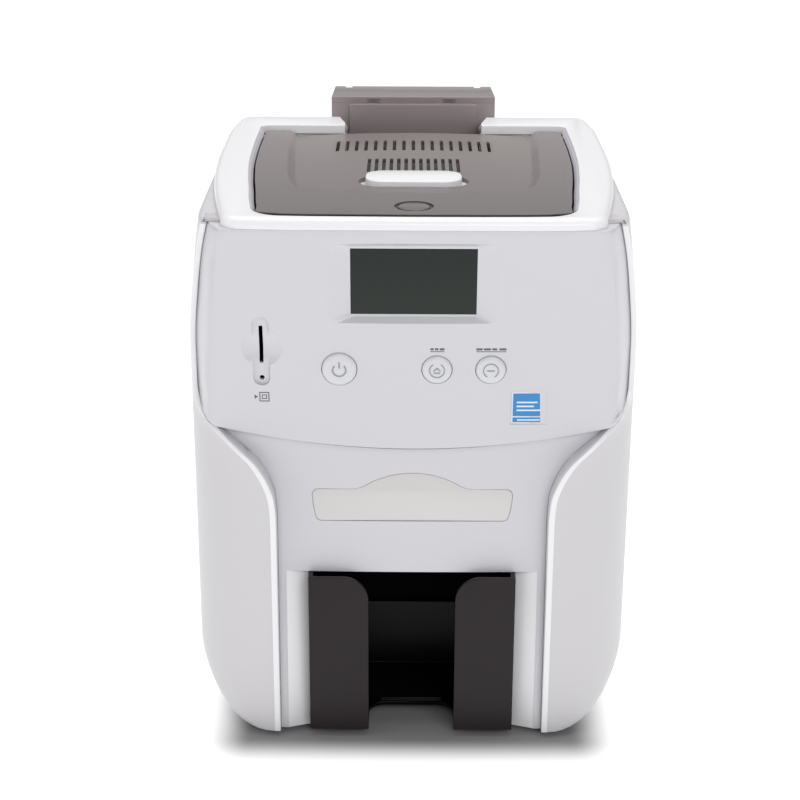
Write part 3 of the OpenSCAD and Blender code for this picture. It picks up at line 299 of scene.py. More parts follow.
def finishPiece(piece, look, body="root", nodes=(), angle=35):
    mesh = piece.data
    for face in mesh.polygons:
        face.use_smooth = True
    mesh.set_sharp_from_angle(angle=math.radians(angle))
    mesh.materials.clear()
    mesh.materials.append(looks[look])
    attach(piece, body)
    if nodes:
        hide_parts(*nodes)
    return piece


def handed(name, sign):
    return name + ("Right" if sign > 0 else "Left")


# turns a front sheet's faces towards the viewer
def faceFront(piece):
    faces = piece.data.polygons
    if faces[len(faces) // 2].normal.y > 0:
        piece.data.flip_normals()


# grid of columns by rows whose vertices are placed by a rule on (column, row)
def ruledSheet(name, columns, rows, rule):
    bm = bmesh.new()
    bmesh.ops.create_grid(bm, x_segments=columns, y_segments=rows, size=0.5)
    for v in bm.verts:
        i, j = round((v.co.x + 0.5) * columns), round((v.co.y + 0.5) * rows)
        v.co = rule(i, j)
    bmesh.ops.remove_doubles(bm, verts=bm.verts, dist=0.00002)
    bmesh.ops.dissolve_degenerate(bm, edges=bm.edges, dist=0.00001)
    bmesh.ops.recalc_face_normals(bm, faces=bm.faces)
    return makeObject(name, bm)


def fillOutline(bm, outline):
    verts = [bm.verts.new(p) for p in outline]
    loop = [bm.edges.new(pair) for pair in zip(verts, verts[1:] + verts[:1])]
    return bmesh.ops.edgeloop_fill(bm, edges=loop)["faces"][0]


def newVerts(made):
    return [v for v in made["geom"] if isinstance(v, bmesh.types.BMVert)]


# extrudes faces and moves their far end, whose vertices it gives back
def pushOut(bm, faces, push=(0, 0, 0)):
    verts = newVerts(bmesh.ops.extrude_face_region(bm, geom=faces))
    bmesh.ops.translate(bm, vec=push, verts=verts)
    return verts


def roundCorners(bm, geom, radius, segments, affect="VERTICES", clamp=False):
    bmesh.ops.bevel(bm, geom=geom, offset=radius, affect=affect, segments=segments, profile=0.5, material=-1,
                    clamp_overlap=clamp)


# closed outline pushed along a direction
def slab(name, outline, push):
    bm = bmesh.new()
    fillOutline(bm, outline)
    pushOut(bm, bm.faces[:], push)
    bmesh.ops.recalc_face_normals(bm, faces=bm.faces)
    return makeObject(name, bm)


def planSlab(name, outline, low, high):
    return slab(name, [point(x, d, low) for x, d in outline], Vector((0, 0, high - low)) * 0.001)


def frontSlab(name, outline, near, far):
    return slab(name, [point(x, near, z) for x, z in outline], Vector((0, far - near, 0)) * 0.001)


def cylinder(name, radius, length, segments, place):
    bm = bmesh.new()
    bmesh.ops.create_cone(bm, cap_ends=True, segments=segments, radius1=radius * 0.001, radius2=radius * 0.001,
                          depth=length * 0.001)
    bm.transform(place)
    return makeObject(name, bm)


def mirroredOutline(half):
    return half + [(-x, y) for x, y in reversed(half) if abs(x) > 1e-6]


def box(x0, x1, y0, y1):
    return [(x0, y0), (x1, y0), (x1, y1), (x0, y1)]


# ellipse arc from one angle to another, in degrees
def arc(centre, radii, start, end, steps):
    angles = [math.radians(start + (end - start) * i / steps) for i in range(steps + 1)]
    return [(centre[0] + radii[0] * math.cos(a), centre[1] + radii[1] * math.sin(a)) for a in angles]


# merged copy of a CAD node with its sharp edges rounded
def roundedCopy(node, look, body, width, cutter=None):
    bm = bmesh.new()
    bm.from_mesh(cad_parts[node].data)
    bmesh.ops.remove_doubles(bm, verts=bm.verts, dist=0.00001)
    bmesh.ops.dissolve_limit(bm, angle_limit=math.radians(0.6), verts=bm.verts, edges=bm.edges)
    piece = makeObject(node + "Dressed", bm)
    if cutter:
        carve(piece, cutter)
    softEdges(piece, width)
    return finishPiece(piece, look, body, [node])


# frame on the upper front panel: x across, y up the panel, z out of it
lean = math.atan(case["waist"] / (case["crease"] - case["seam"]))


def flatDepth(z):
    return (case["crease"] - z) * math.tan(lean)


def onFace(x, z):
    return Matrix.Translation(point(x, flatDepth(z), z)) @ Matrix.Rotation(math.pi / 2 + lean, 4, "X")


def lowerDepth(z):
    return case["toe"] + (z - case["foot"]) * (case["waist"] - case["toe"]) / (case["seam"] - case["foot"])


# ---- the line where a side cover ends, and the sections it follows ----
wingLine = smoothCurve([
    (0, 63.5), (113, 63.5), (124, 64.2), (132.5, 66.8), (142.5, 72.8), (148.5, 79.5), (157, 90), (161.5, 95.6),
    (167, 99.3), (174, 100.7), (197, 100.6), (220, 98.6), (240, 95.6), (255.5, 92.2)])
sideSection = dict(bottomRadii=(40, 34), cornerStart=65, cornerDepth=48, cornerWidth=40.8, blend=7,
                   topFall=8.6, fallFrom=150, fallPower=2.3)


def frontWidth(z):
    s = sideSection
    across, up = s["bottomRadii"]
    if z < case["foot"] + up:
        rise = (case["foot"] + up - z) / up
        return case["halfWidth"] - across * (1 - math.sqrt(max(1 - rise * rise, 0)))
    t = max((z - s["fallFrom"]) / (case["crease"] - s["fallFrom"]), 0)
    return case["halfWidth"] - s["topFall"] * t ** s["fallPower"]


# inner start of the side covers, a hair inside the wing foot
innerStart = case["wingFoot"] - 0.1
fullSpan = case["halfWidth"] - innerStart


def blendWidth(byFront, byPlan):
    a, b = max((byFront - innerStart) / fullSpan, 1e-3), max((byPlan - innerStart) / fullSpan, 1e-3)
    p = sideSection["blend"]
    return innerStart + fullSpan * (a ** -p + b ** -p - 1) ** (-1 / p)


# where along the rounded plan corner the cover starts at a height, as an angle
def startAngle(z):
    s = sideSection
    p = s["blend"]
    a = max((frontWidth(z) - innerStart) / fullSpan, 1e-3)
    c = max((wingLine(z) - innerStart) / fullSpan, 2e-3)
    b = max(c ** -p - a ** -p + 1, 1) ** (-1 / p)
    return math.asin(unit((innerStart + fullSpan * b - s["cornerStart"]) / s["cornerWidth"]))


def cornerDepthAt(angle):
    return sideSection["cornerDepth"] * (1 - math.cos(angle))


# half width along the depth: the edge the side covers' flange keeps to, and the body
rimHalf = smoothCurve([(0, 60), (1.2, 77), (3.2, 83), (8, 86.2), (24, 88.3), (62, 94), (100, 97.5), (140, 99),
                       (190, 99), (212, 97), (225.5, 93.5)])
bodyPlan = smoothCurve([(48, 105.8), (85, 106.9), (140, 107.5), (175, 106.9), (215, 104.5), (250, 102.6),
                        (276, 100.5)])

# ---- side covers ----
# the bead's section from the wing line outwards: across, back, and how far it lies back where the corner turns
bead = dict(width=2.8, flange=13, edgeOut=0.12, edgeWall=0.4,
            profile=[(0, 0.7, 0), (0.08, 0.28, 0), (0.3, 0.06, 0), (0.7, 0, 0), (1.9, 0, 0.1), (2.5, 0, 0.4),
                     (2.8, 0, 1.1)])
# columns of the sheet along its front, its side and its rear, then its upper and rear edges
sideSheet = dict(front=22, body=14, rear=12, wall=2.2, topRound=3, flangeIn=4, flangeDrop=2.4,
                 rearSteps=5, rearEdge=88.6, rearCorner=(88.5, 276), rearRadius=12)


def sideCover(sign):
    s, across, up = sideSheet, *sideSection["bottomRadii"]
    deck, foot, rearWall = case["deck"], case["foot"], case["rearWall"]
    rearStart = s["front"] + s["body"]
    columns = rearStart + s["rear"]
    shoulder = case["crease"] - s["topRound"]
    edge = frontWidth(shoulder) - s["topRound"]
    rows = [(case["wingFoot"], foot), (case["wingFoot"] + 2, foot)]
    rows += arc((case["halfWidth"] - across, foot + up), (across, up), -90, 0, 16)
    heights = [45 + 11 * i for i in range(6)] + [108 + 2 * i for i in range(32)] + [deck, deck]
    heights += [deck + 4 + 4 * i for i in range(19)] + [shoulder - 2, shoulder]
    rows += [(frontWidth(z), z) for z in heights]
    rows += [(edge + x, z) for x, z in arc((0, shoulder - 0.1), (s["topRound"],) * 2, 15, 90, 5)]
    rows += [(0, case["crease"] - 0.1)] * 2
    deckRow = rows.index((frontWidth(deck), deck))
    corner = arc(s["rearCorner"], (s["rearRadius"],) * 2, 0, 90, 6)

    def rule(i, j):
        width, z = rows[j]
        ledge = j - (len(rows) - 3)
        if ledge > 0:
            # level flange that runs in under the rim
            x, d = flatPlace(max(i, 1), edge, z)
            target = min(rimHalf(d) - s["flangeIn"], x)
            return point(sign * (x + (target - x) * ledge / 2), d, z - (s["flangeDrop"] if i == 0 else 0))
        x, d = flatPlace(i, width, z)
        if j <= deckRow and i > rearStart:
            # below the deck the cover runs on to the rear corner
            k, steps = i - rearStart, s["rearSteps"]
            if k <= steps:
                d = rearWall + (s["rearCorner"][1] - rearWall) * k / steps
                x = blendWidth(width, bodyPlan(d))
            else:
                x, d = corner[min(k - steps, 6)]
                x = blendWidth(width, x)
            if i == columns:
                x, d = min(s["rearEdge"], x), case["depth"]
        return point(sign * x, d, z)

    def flatPlace(i, width, z):
        if i <= s["front"]:
            # a flat bead runs down the wing line, with a return flange behind it
            wing, start, profile = wingLine(z), startAngle(z), bead["profile"]
            lie, wingDepth = math.sin(start), cornerDepthAt(start)
            if i <= len(profile):
                along, back, turned = profile[max(i - 1, 0)]
                return wing + along, wingDepth + back + turned * lie + (bead["flange"] if i == 0 else 0)
            t = (i - len(profile)) / (s["front"] - len(profile))
            cornerWidth = sideSection["cornerWidth"]
            first = math.asin(min(lie + bead["width"] / cornerWidth, 1))
            angle = first + (math.pi / 2 - first) * t
            byPlan = sideSection["cornerStart"] + cornerWidth * math.sin(angle)
            step = max(cornerDepthAt(first) - wingDepth - profile[-1][2] * lie, 0)
            return max(blendWidth(width, byPlan), wing + bead["width"]), cornerDepthAt(angle) - step * (1 - t) ** 2
        if i <= rearStart:
            d = sideSection["cornerDepth"]
            d += (rearWall - sideSection["cornerDepth"]) * (i - s["front"]) / s["body"]
            return blendWidth(width, bodyPlan(d)), d
        # above the deck the cover turns in along the upper rear wall
        outer = blendWidth(width, bodyPlan(rearWall))
        return outer + (min(s["rearEdge"], outer) - outer) * (i - rearStart) / s["rear"], rearWall

    # painted highlight: the bead's rounded edge is a strip in the brighter rim white, a lit copy of the side covers'
    # plastic, so it shows as a bright band
    beadRows = rows[3:-5]

    def beadRule(i, j):
        width, z = beadRows[j]
        x, d = flatPlace(i + 1, width, z)
        if i == 0:
            x, d = x - 0.04, d + 1.6
        return point(sign * x, d - bead["edgeOut"], z)

    beadHighlight = ruledSheet(handed("wingEdge", sign), len(bead["profile"]) - 1, len(beadRows) - 1, beadRule)
    faceFront(beadHighlight)
    # painted highlight: rim white on the bead
    finishPiece(thicken(beadHighlight, bead["edgeWall"]), "rim", angle=60)

    piece = ruledSheet(handed("sideCover", sign), columns, len(rows) - 1, rule)
    # the sheet must face outwards before it gets its wall
    flank = point(sign * case["halfWidth"], 130, 100)
    middle = min(piece.data.polygons, key=lambda f: (f.center - flank).length)
    if middle.normal.x * sign < 0:
        piece.data.flip_normals()
    softEdges(thicken(piece, s["wall"]), 0.4, 2, 50)
    finishPiece(piece, "side", nodes=[handed("side_cover_", sign).lower()], angle=40)


for sign in (-1, 1):
    sideCover(sign)
print("side covers made")

# ---- upper front panel ----
panelTop = case["crease"] - 0.1
panel = dict(columns=96, rows=46, wall=3.4, creaseTop=86.0, creaseFoot=96.0, creaseBend=0.62, seamRadius=392,
             bow=0.5, bowReach=0.6, sideStart=1.2, blend=2.6, blendGain=4, blendTop=210, blendSpan=50)
sideSlope = smoothCurve([(150, 3.1), (167, 2.9), (198, 2.45), (220, 2.45), (240, 2.3), (255, 2.25)])
display = dict(z=229.4, outer=(82.4, 39.7), floor=(58.6, 33.4), window=(56.6, 31.4), recess=3.0, corner=5)
keys = dict(z=187.9, clear=0.3, places=[("power", -33.6, 7.9), ("eject", 10.8, 6.8), ("ribbon", 35.3, 6.8)])
cardSlot = dict(x=-69, z=198, slit=(1.8, 18.4), dishR=9.4, dishDepth=2.6, recess=(7.8, 33.6), round=3.7, deep=1.5,
                lampDrop=15.4, lampR=1.2)
badge = dict(x=53.2, z=168.6, half=7.9, field=7.3, seat=(16.8, 16.8), seatDeep=0.75)


def seamHeight(x):
    return case["seam"] + x * x / (2 * panel["seamRadius"])


def panelDepth(x, z):
    x, p = abs(x), panel
    fall = unit((case["crease"] - z) / (case["crease"] - case["seam"]))
    crease = p["creaseTop"] + (p["creaseFoot"] - p["creaseTop"]) * fall ** p["creaseBend"]
    bow = p["bow"] * (x / (p["bowReach"] * crease)) ** 2
    side = p["sideStart"] + sideSlope(z) * (x - crease)
    blend = p["blend"] + p["blendGain"] * unit((p["blendTop"] - z) / p["blendSpan"])
    return softMax(flatDepth(z) + bow, flatDepth(z) + side, blend)


# how far the bowed face lies behind its flat plane
def frontBow(x, z):
    return (panelDepth(x, z) - flatDepth(z)) * math.cos(lean)


# block square to the panel with rounded upright edges, from one height above it to another
def faceBlock(name, x, z, size, corner, low, high):
    bm = bmesh.new()
    bmesh.ops.create_grid(bm, x_segments=1, y_segments=1, size=0.5)
    bmesh.ops.scale(bm, vec=(size[0] * 0.001, size[1] * 0.001, 1), verts=bm.verts)
    if corner:
        roundCorners(bm, bm.verts[:], corner * 0.001, 8)
    bmesh.ops.translate(bm, vec=(0, 0, low * 0.001), verts=bm.verts)
    pushOut(bm, bm.faces[:], (0, 0, (high - low) * 0.001))
    bmesh.ops.recalc_face_normals(bm, faces=bm.faces)
    bm.transform(onFace(x, z))
    return makeObject(name, bm)


# display recess: a tapered box with rounded corners
def recessCutter():
    d = display
    bm = bmesh.new()
    bmesh.ops.create_grid(bm, x_segments=1, y_segments=1, size=0.5)
    bmesh.ops.scale(bm, vec=(*d["outer"], 1), verts=bm.verts)
    roundCorners(bm, bm.verts[:], d["corner"], 6)
    deep = pushOut(bm, bm.faces[:])
    for v in bm.verts:
        v.co.z = -d["recess"] if v in deep else 1
    for v in deep:
        v.co.x *= d["floor"][0] / d["outer"][0]
        v.co.y *= d["floor"][1] / d["outer"][1]
    bmesh.ops.recalc_face_normals(bm, faces=bm.faces)
    bmesh.ops.scale(bm, vec=(0.001,) * 3, verts=bm.verts)
    bm.transform(onFace(0, d["z"]))
    return makeObject("recessCutter", bm)


def frontPanel():
    def rule(i, j):
        s, v = 2 * i / panel["columns"] - 1, j / panel["rows"]
        z = case["seam"] + v * (case["crease"] - case["seam"])
        # width and height depend on each other, so they are found in turns
        for _ in range(8):
            x = s * (wingLine(z) - case["wingGap"])
            low = seamHeight(x) + case["gap"] / 2
            z = low + v * (panelTop - low)
        return point(x, panelDepth(x, z), z)

    piece = ruledSheet("frontPanel", panel["columns"], panel["rows"], rule)
    faceFront(piece)
    softEdges(thicken(piece, panel["wall"], True), 0.22, 2, 50)
    carve(piece, recessCutter())
    for name, x, r in keys["places"]:
        carve(piece, cylinder(name + "Hole", r + keys["clear"], 20, 80, onFace(x, keys["z"])))
    c = cardSlot
    carve(piece, cylinder("lampHole", c["lampR"], 20, 32, onFace(c["x"], c["z"] - c["lampDrop"])))
    carve(piece, faceBlock("windowCutter", 0, display["z"], display["window"], 0, -9, 2))
    # manual card slot: an upright recess, a round dish over it and the slit
    sink = frontBow(c["x"], c["z"])
    carve(piece, faceBlock("slotRecess", c["x"], c["z"] - 2, c["recess"], c["round"], -c["deep"] - sink, 3))
    sphere = (c["dishR"] ** 2 + c["dishDepth"] ** 2) / (2 * c["dishDepth"])
    bm = bmesh.new()
    bmesh.ops.create_uvsphere(bm, u_segments=96, v_segments=64, radius=sphere * 0.001)
    high = (sphere - c["dishDepth"] - sink) * 0.001
    bm.transform(onFace(c["x"], c["z"]) @ Matrix.Translation((0, 0, high)))
    carve(piece, makeObject("dishCutter", bm))
    carve(piece, faceBlock("slitCutter", c["x"], c["z"] + 1, c["slit"], 0.5, -9, 3))
    carve(piece, faceBlock("badgeSeat", badge["x"], badge["z"], badge["seat"], 0.5, -badge["seatDeep"], 3))
    finishPiece(piece, "front", nodes=["front_panel"], angle=28)


frontPanel()

# flat cap that closes the panel's top corners beside the rim
cornerCap = dict(columns=(78, 82, 84, 85, 86, 87, 88, 89, 90, 91), back=30, thick=1.2, lift=0.04, clear=0.15)
for sign in (-1, 1):
    c, outer, z = cornerCap, wingLine(panelTop), panelTop + cornerCap["lift"]
    ring = [(x, panelDepth(x, panelTop) + 0.12) for x in c["columns"]]
    ring += [(outer - c["clear"], panelDepth(outer, panelTop) - 0.1), (wingLine(z) - c["clear"], c["back"]),
             (c["columns"][0], c["back"])]
    cap = planSlab(handed("cornerCap", sign), [(sign * x, d) for x, d in ring], z - c["thick"], z)
    finishPiece(softEdges(cap, 0.2, 2, 50), "side")
print("front panel made")

# ---- lower front panel with the slanted cheeks of the output mouth ----
lower = dict(columns=60, rows=50, wall=2.6, flat=60, bow=0.9, turn=3.0, turnSpan=30,
             mouthHalf=59.7, mouthTop=85.7, bayHalf=49.4, bayFront=4.6, bayEnd=11.5, overlap=0.7)
# the label's arch has a radius, a centre height and a shoulder height; its plate is a little smaller
label = dict(archR=42, archZ=93.7, shoulder=127.6, blend=2.4, middle=120.5, shrink=(0.993, 0.97), pocket=1.15,
             plate=1.25, thick=0.85)


def labelOutline():
    n = label
    crown = [(x, softMax(n["shoulder"], n["archZ"] + math.sqrt(n["archR"] ** 2 - x * x), n["blend"]))
             for x in range(-32, 34, 2)]
    side = arc((-42.6, 114.4), (3, 3), -100, -170, 5) + [(-46.6, 119)] + arc((-44.2, 124.4), (3, 3.2), -185, -275, 5)
    # the right side leaves out the last point before the crown
    return (side + crown)[::-1] + [(-x, z) for x, z in side[:-1]]


def lowerPanel():
    n, foot = lower, case["foot"]

    def rule(i, j):
        s, v = 2 * i / n["columns"] - 1, j / n["rows"]
        z = foot + v * (case["seam"] - foot)
        for _ in range(8):
            x = s * (wingLine(z) - case["wingGap"])
            z = foot + v * (seamHeight(x) - case["gap"] / 2 - foot)
        past = max((abs(x) - n["flat"]) / n["turnSpan"], 0)
        return point(x, lowerDepth(z) + n["bow"] * (abs(x) / n["flat"]) ** 2 + n["turn"] * past ** 2, z)

    piece = ruledSheet("lowerFrontPanel", n["columns"], n["rows"], rule)
    faceFront(piece)
    softEdges(thicken(piece, n["wall"], True), 0.2, 2, 50)
    half, top = n["mouthHalf"], n["mouthTop"]
    carve(piece, frontSlab("mouthCutter", box(-half, half, 0, top), -5, 30))
    outline = labelOutline()
    pocket = [point(x, lowerDepth(z) + label["pocket"], z) for x, z in outline]
    carve(piece, slab("labelCutter", pocket, Vector((0, -0.01, 0))))
    finishPiece(piece, "front", nodes=["lower_front_panel"], angle=28)
    narrow, low = label["shrink"]
    small = [(x * narrow, label["middle"] + (z - label["middle"]) * low) for x, z in outline]
    plate = slab("labelPlate", [point(x, lowerDepth(z) + label["plate"], z) for x, z in small],
                 Vector((0, -label["thick"], 0)) * 0.001)
    finishPiece(softEdges(plate, 0.15, 2, 50), "label", nodes=["label_plate"], angle=40)

    near = lowerDepth(foot)
    for sign in (-1, 1):
        outer, inner = sign * (half + n["overlap"]), sign * n["bayHalf"]
        ring = [(outer, near + 0.9), (inner, near + n["bayFront"]), (inner, n["bayEnd"]), (outer, n["bayEnd"])]
        cheek = planSlab(handed("cheek", sign), ring, foot, top)
        for v in cheek.data.vertices:
            if v.co.y < point(0, 10, 0).y:
                v.co.y += (lowerDepth(v.co.z * 1000) - near) * 0.001
        # painted light: the cheeks take the brighter rim white so they stay light in the shade of the mouth
        finishPiece(softEdges(cheek, 0.5, 2), "rim")
    start, end = lowerDepth(top) + 2, 12.6
    section = [(start, top), (end, top), (end, top + 1.8), (start, top + 1.8)]
    lintel = slab("mouthLintel", [point(0.2 - half, d, z) for d, z in section], Vector((2 * half - 0.4, 0, 0)) * 0.001)
    finishPiece(lintel, "front")


lowerPanel()
print("lower panel made")

# ---- top rim ----
rim = dict(chamfer=3.7, innerRound=0.8, neckHalf=37.2, liner=2.2, linerHigh=10.5, slopeReach=2.3)
openingSide = smoothCurve([(22, 73.6), (38, 75.6), (55, 77), (82, 79.6), (120, 82), (160, 82.7), (197, 82.6)])
openingHalf = [(0, 5), (30, 5.2), (50, 5.6)] + arc((57.6, 22), (16, 16), -80, 0, 14)
openingHalf += [(openingSide(d), d) for d in range(29, 197, 7)] + [(82.6, 197.6), (79, 200.8)]
rimSide = smoothCurve([(10, 86), (24, 88.3), (43, 91.3), (62, 94), (100, 97.5), (140, 99), (190, 99), (212, 97),
                       (219, 96.4)])
rimOuterHalf = [(0, 0), (25, 0.1), (50, 0.3), (66, 0.8)] + arc((76.5, 10), (9.5, 8.6), -84, 0, 10)
rimOuterHalf += [(rimSide(d), d) for d in range(17, 213, 7)] + arc((88.8, 219), (7.6, 8.4), 0, 90, 8)
rimOuterHalf += [(60, 227.6), (41.5, 227.8)]


def topRim():
    bm = bmesh.new()
    # one ring, open at the back where the hopper's neck stands
    half = rimOuterHalf + [(rim["neckHalf"], 208), (rim["neckHalf"], 200.8)]
    outline = [(-x, d) for x, d in reversed(half)] + half[1:]
    outline += openingHalf[::-1] + [(-x, d) for x, d in openingHalf[1:]]
    fillOutline(bm, [point(x, d, case["rimTop"]) for x, d in outline])
    pushOut(bm, bm.faces[:], Vector((0, 0, case["crease"] - case["rimTop"])) * 0.001)
    bmesh.ops.recalc_face_normals(bm, faces=bm.faces)

    def isTop(e):
        return all(abs(v.co.z - case["rimTop"] * 0.001) < 1e-5 for v in e.verts) and e.calc_face_angle(0) > 0.5

    def isOuter(v):
        x, d = abs(v.co.x) * 1000, v.co.y * 1000 + case["depth"] / 2
        return d < 4.8 or x > 84 or (d > 226 and x > 41)

    outer = [e for e in bm.edges if isTop(e) and all(isOuter(v) for v in e.verts)]
    roundCorners(bm, outer, rim["chamfer"] * 0.001, 6, "EDGES", True)
    roundCorners(bm, [e for e in bm.edges if isTop(e)], rim["innerRound"] * 0.001, 3, "EDGES", True)
    finishPiece(makeObject("topRim", bm), "rim", nodes=["top_rim"], angle=40)


# inner wall below the opening's edge
def rimInnerWall():
    bm = bmesh.new()
    path = mirroredOutline([(x, d) for x, d in openingHalf if d > 15])
    verts = [bm.verts.new(point(x, d, case["crease"] + 0.5)) for x, d in path]
    strips = [bm.edges.new(pair) for pair in zip(verts, verts[1:])]
    down = newVerts(bmesh.ops.extrude_edge_only(bm, edges=strips))
    bmesh.ops.translate(bm, vec=(0, 0, -rim["linerHigh"] * 0.001), verts=down)
    bmesh.ops.recalc_face_normals(bm, faces=bm.faces)
    liner = makeObject("rimInnerWall", bm)
    side = liner.data.polygons[3]
    if side.normal.x * side.center.x > 0:
        liner.data.flip_normals()
    thicken(liner, rim["liner"])
    carve(liner, planSlab("linerNotch", box(-36.9, 36.9, 196, 206), 236, 262))
    finishPiece(liner, "rim")


# sloped inner edge beside the cover
def rimSlope(sign):
    bm = bmesh.new()
    top, rings = case["rimTop"], []
    for d in range(16, 197, 6):
        x = openingSide(max(d, 22)) - max(22 - d, 0) * 0.12
        reach = rim["slopeReach"] * min((d - 12) / 14, 1)
        section = ((x + 0.4, top - 0.8), (x - reach * 0.5, top - 1.1), (x - reach, top - 2.2),
                   (x - reach, top - 4.6), (x + 0.4, top - 4.6))
        rings.append([bm.verts.new(point(sign * a, d, z)) for a, z in section])
    for one, two in zip(rings, rings[1:]):
        for k in range(5):
            bm.faces.new((one[k], one[(k + 1) % 5], two[(k + 1) % 5], two[k]))
    bm.faces.new(rings[0])
    bm.faces.new(rings[-1])
    bmesh.ops.recalc_face_normals(bm, faces=bm.faces)
    finishPiece(makeObject(handed("rimSlope", sign), bm), "lining", angle=20)


topRim()
rimInnerWall()
for sign in (-1, 1):
    rimSlope(sign)
print("rim made")

# ---- top cover ----
# a row of slots has a count, a pitch, the middle's depth and a length
cover = dict(gap=0.8, sideGap=2.4, frontGap=9.2, backEnd=199.2, thick=4.5, step=2.3, crown=1100, cell=1.25,
             wide=86, long=206, frameFall=1.2, slotWidth=1.8, slotRound=0.85,
             slotRows=((17, 4.96, 168, 24), (13, 3.72, 122, 29)),
             lockD=30, lockR=7.3, releaseD=88, releaseX=14.6, releaseR=12.3, releaseTip=27.2, lipBack=12)
coverTop = case["rimTop"] - 1.3


def frameHeight(d):
    return coverTop - ((d - 80) / 120) ** 2 * cover["frameFall"]


# half widths at which the cover's raised frame ends and its tray's floor begins, along the depth
tray = dict(start=54.5, floorStart=58)
trayOuter = smoothCurve([(54.5, 0), (55.5, 24), (58, 42), (62, 51), (71, 58.5), (92, 62), (205, 67.5)])
trayInner = smoothCurve([(58, 0), (59, 21), (61.3, 37.5), (65.5, 46), (75, 53), (94.5, 56.9), (205, 62.4)])


# 0 on the raised frame, 1 on the floor of the tray
def trayMask(x, d):
    if d < tray["start"] + 0.1:
        return 0
    onFloor = d >= tray["floorStart"]
    far, near = trayOuter(d), (trayInner(d) if onFloor else 0)
    t = unit((far - abs(x)) / max(far - near, 1))
    if not onFloor:
        t *= unit((d - tray["start"]) / (tray["floorStart"] - tray["start"]))
    return t * t * (3 - 2 * t)


def coverHeight(x, d):
    mask = trayMask(x, d)
    return frameHeight(d) * (1 - mask) + mask * (coverTop - cover["step"] - x * x / (2 * cover["crown"]))


def inset(half, gap):
    out = []
    for i, (x, y) in enumerate(half):
        a, b = half[max(i - 1, 0)], half[min(i + 1, len(half) - 1)]
        tx, ty = b[0] - a[0], b[1] - a[1]
        length = math.hypot(tx, ty)
        out.append((max(x - ty / length * gap, 0) if i else 0, y + tx / length * gap))
    return out


def ventCutter():
    bm = bmesh.new()
    for count, pitch, middle, length in cover["slotRows"]:
        for i in range(count):
            slot = bmesh.ops.create_cube(bm, size=0.001)["verts"]
            bmesh.ops.scale(bm, vec=(cover["slotWidth"], length, 20), verts=slot)
            bmesh.ops.translate(bm, vec=point((i - (count - 1) / 2) * pitch, middle, coverTop), verts=slot)
    upright = [e for e in bm.edges if abs(e.verts[0].co.z - e.verts[1].co.z) > 0.01]
    roundCorners(bm, upright, cover["slotRound"] * 0.001, 3, "EDGES")
    return makeObject("ventCutter", bm)


def topCover():
    c = cover
    columns, rows = int(2 * c["wide"] / c["cell"]), int(c["long"] / c["cell"])

    def rule(i, j):
        x, d = -c["wide"] + 2 * c["wide"] * i / columns, c["long"] * j / rows
        return point(x, d, coverHeight(x, d))

    # a plate under the modelled surface, cut to the opening's outline with a gap
    piece = ruledSheet("topCover", columns, rows, rule)
    if piece.data.polygons[0].normal.z < 0:
        piece.data.flip_normals()
    bm = bmesh.new()
    bm.from_mesh(piece.data)
    for v in pushOut(bm, bm.faces[:]):
        v.co.z = (coverTop - c["thick"] - 1) * 0.001
    bmesh.ops.recalc_face_normals(bm, faces=bm.faces)
    bm.to_mesh(piece.data)
    bm.free()
    edge = inset(openingHalf, c["gap"])
    half = [(x - c["sideGap"] * unit((d - 14) / 12), min(d + c["frontGap"] * unit((22 - d) / 14), c["backEnd"]))
            for x, d in edge]
    cut = planSlab("coverOutline", mirroredOutline(half), coverTop - c["thick"], case["rimTop"] + 3)
    softEdges(carve(piece, cut, "INTERSECT"), 0.7, 3, 40)
    carve(piece, ventCutter())
    centre, radii = (c["releaseX"], c["releaseD"]), (c["releaseR"],) * 2
    lens = arc(centre, radii, -90, -24, 6) + [(c["releaseTip"], c["releaseD"])] + arc(centre, radii, 24, 90, 6)
    carve(piece, planSlab("releaseCutter", mirroredOutline(lens), coverTop - 12, coverTop + 8))
    for grow, low in ((0.3, coverTop - 12), (1.7, frameHeight(c["lockD"]) - 1)):
        middle = Matrix.Translation(point(0, c["lockD"], low + 10))
        carve(piece, cylinder("lockCutter", c["lockR"] + grow, 20, 64, middle))
    # painted shade: a near-black lip under the front edge stands in for the shade there
    lip = [(x, d + 0.3) for x, d in edge if d < 24]
    lip += [(x, d + c["lipBack"]) for x, d in reversed(lip) if x < 60]
    lip = planSlab("coverLip", mirroredOutline(lip), coverTop - 4.2, coverTop - 0.9)
    finishPiece(lip, "well", "top_cover")
    finishPiece(piece, "smoke", "top_cover", ["top_cover"], 30)


topCover()
print("top cover made")

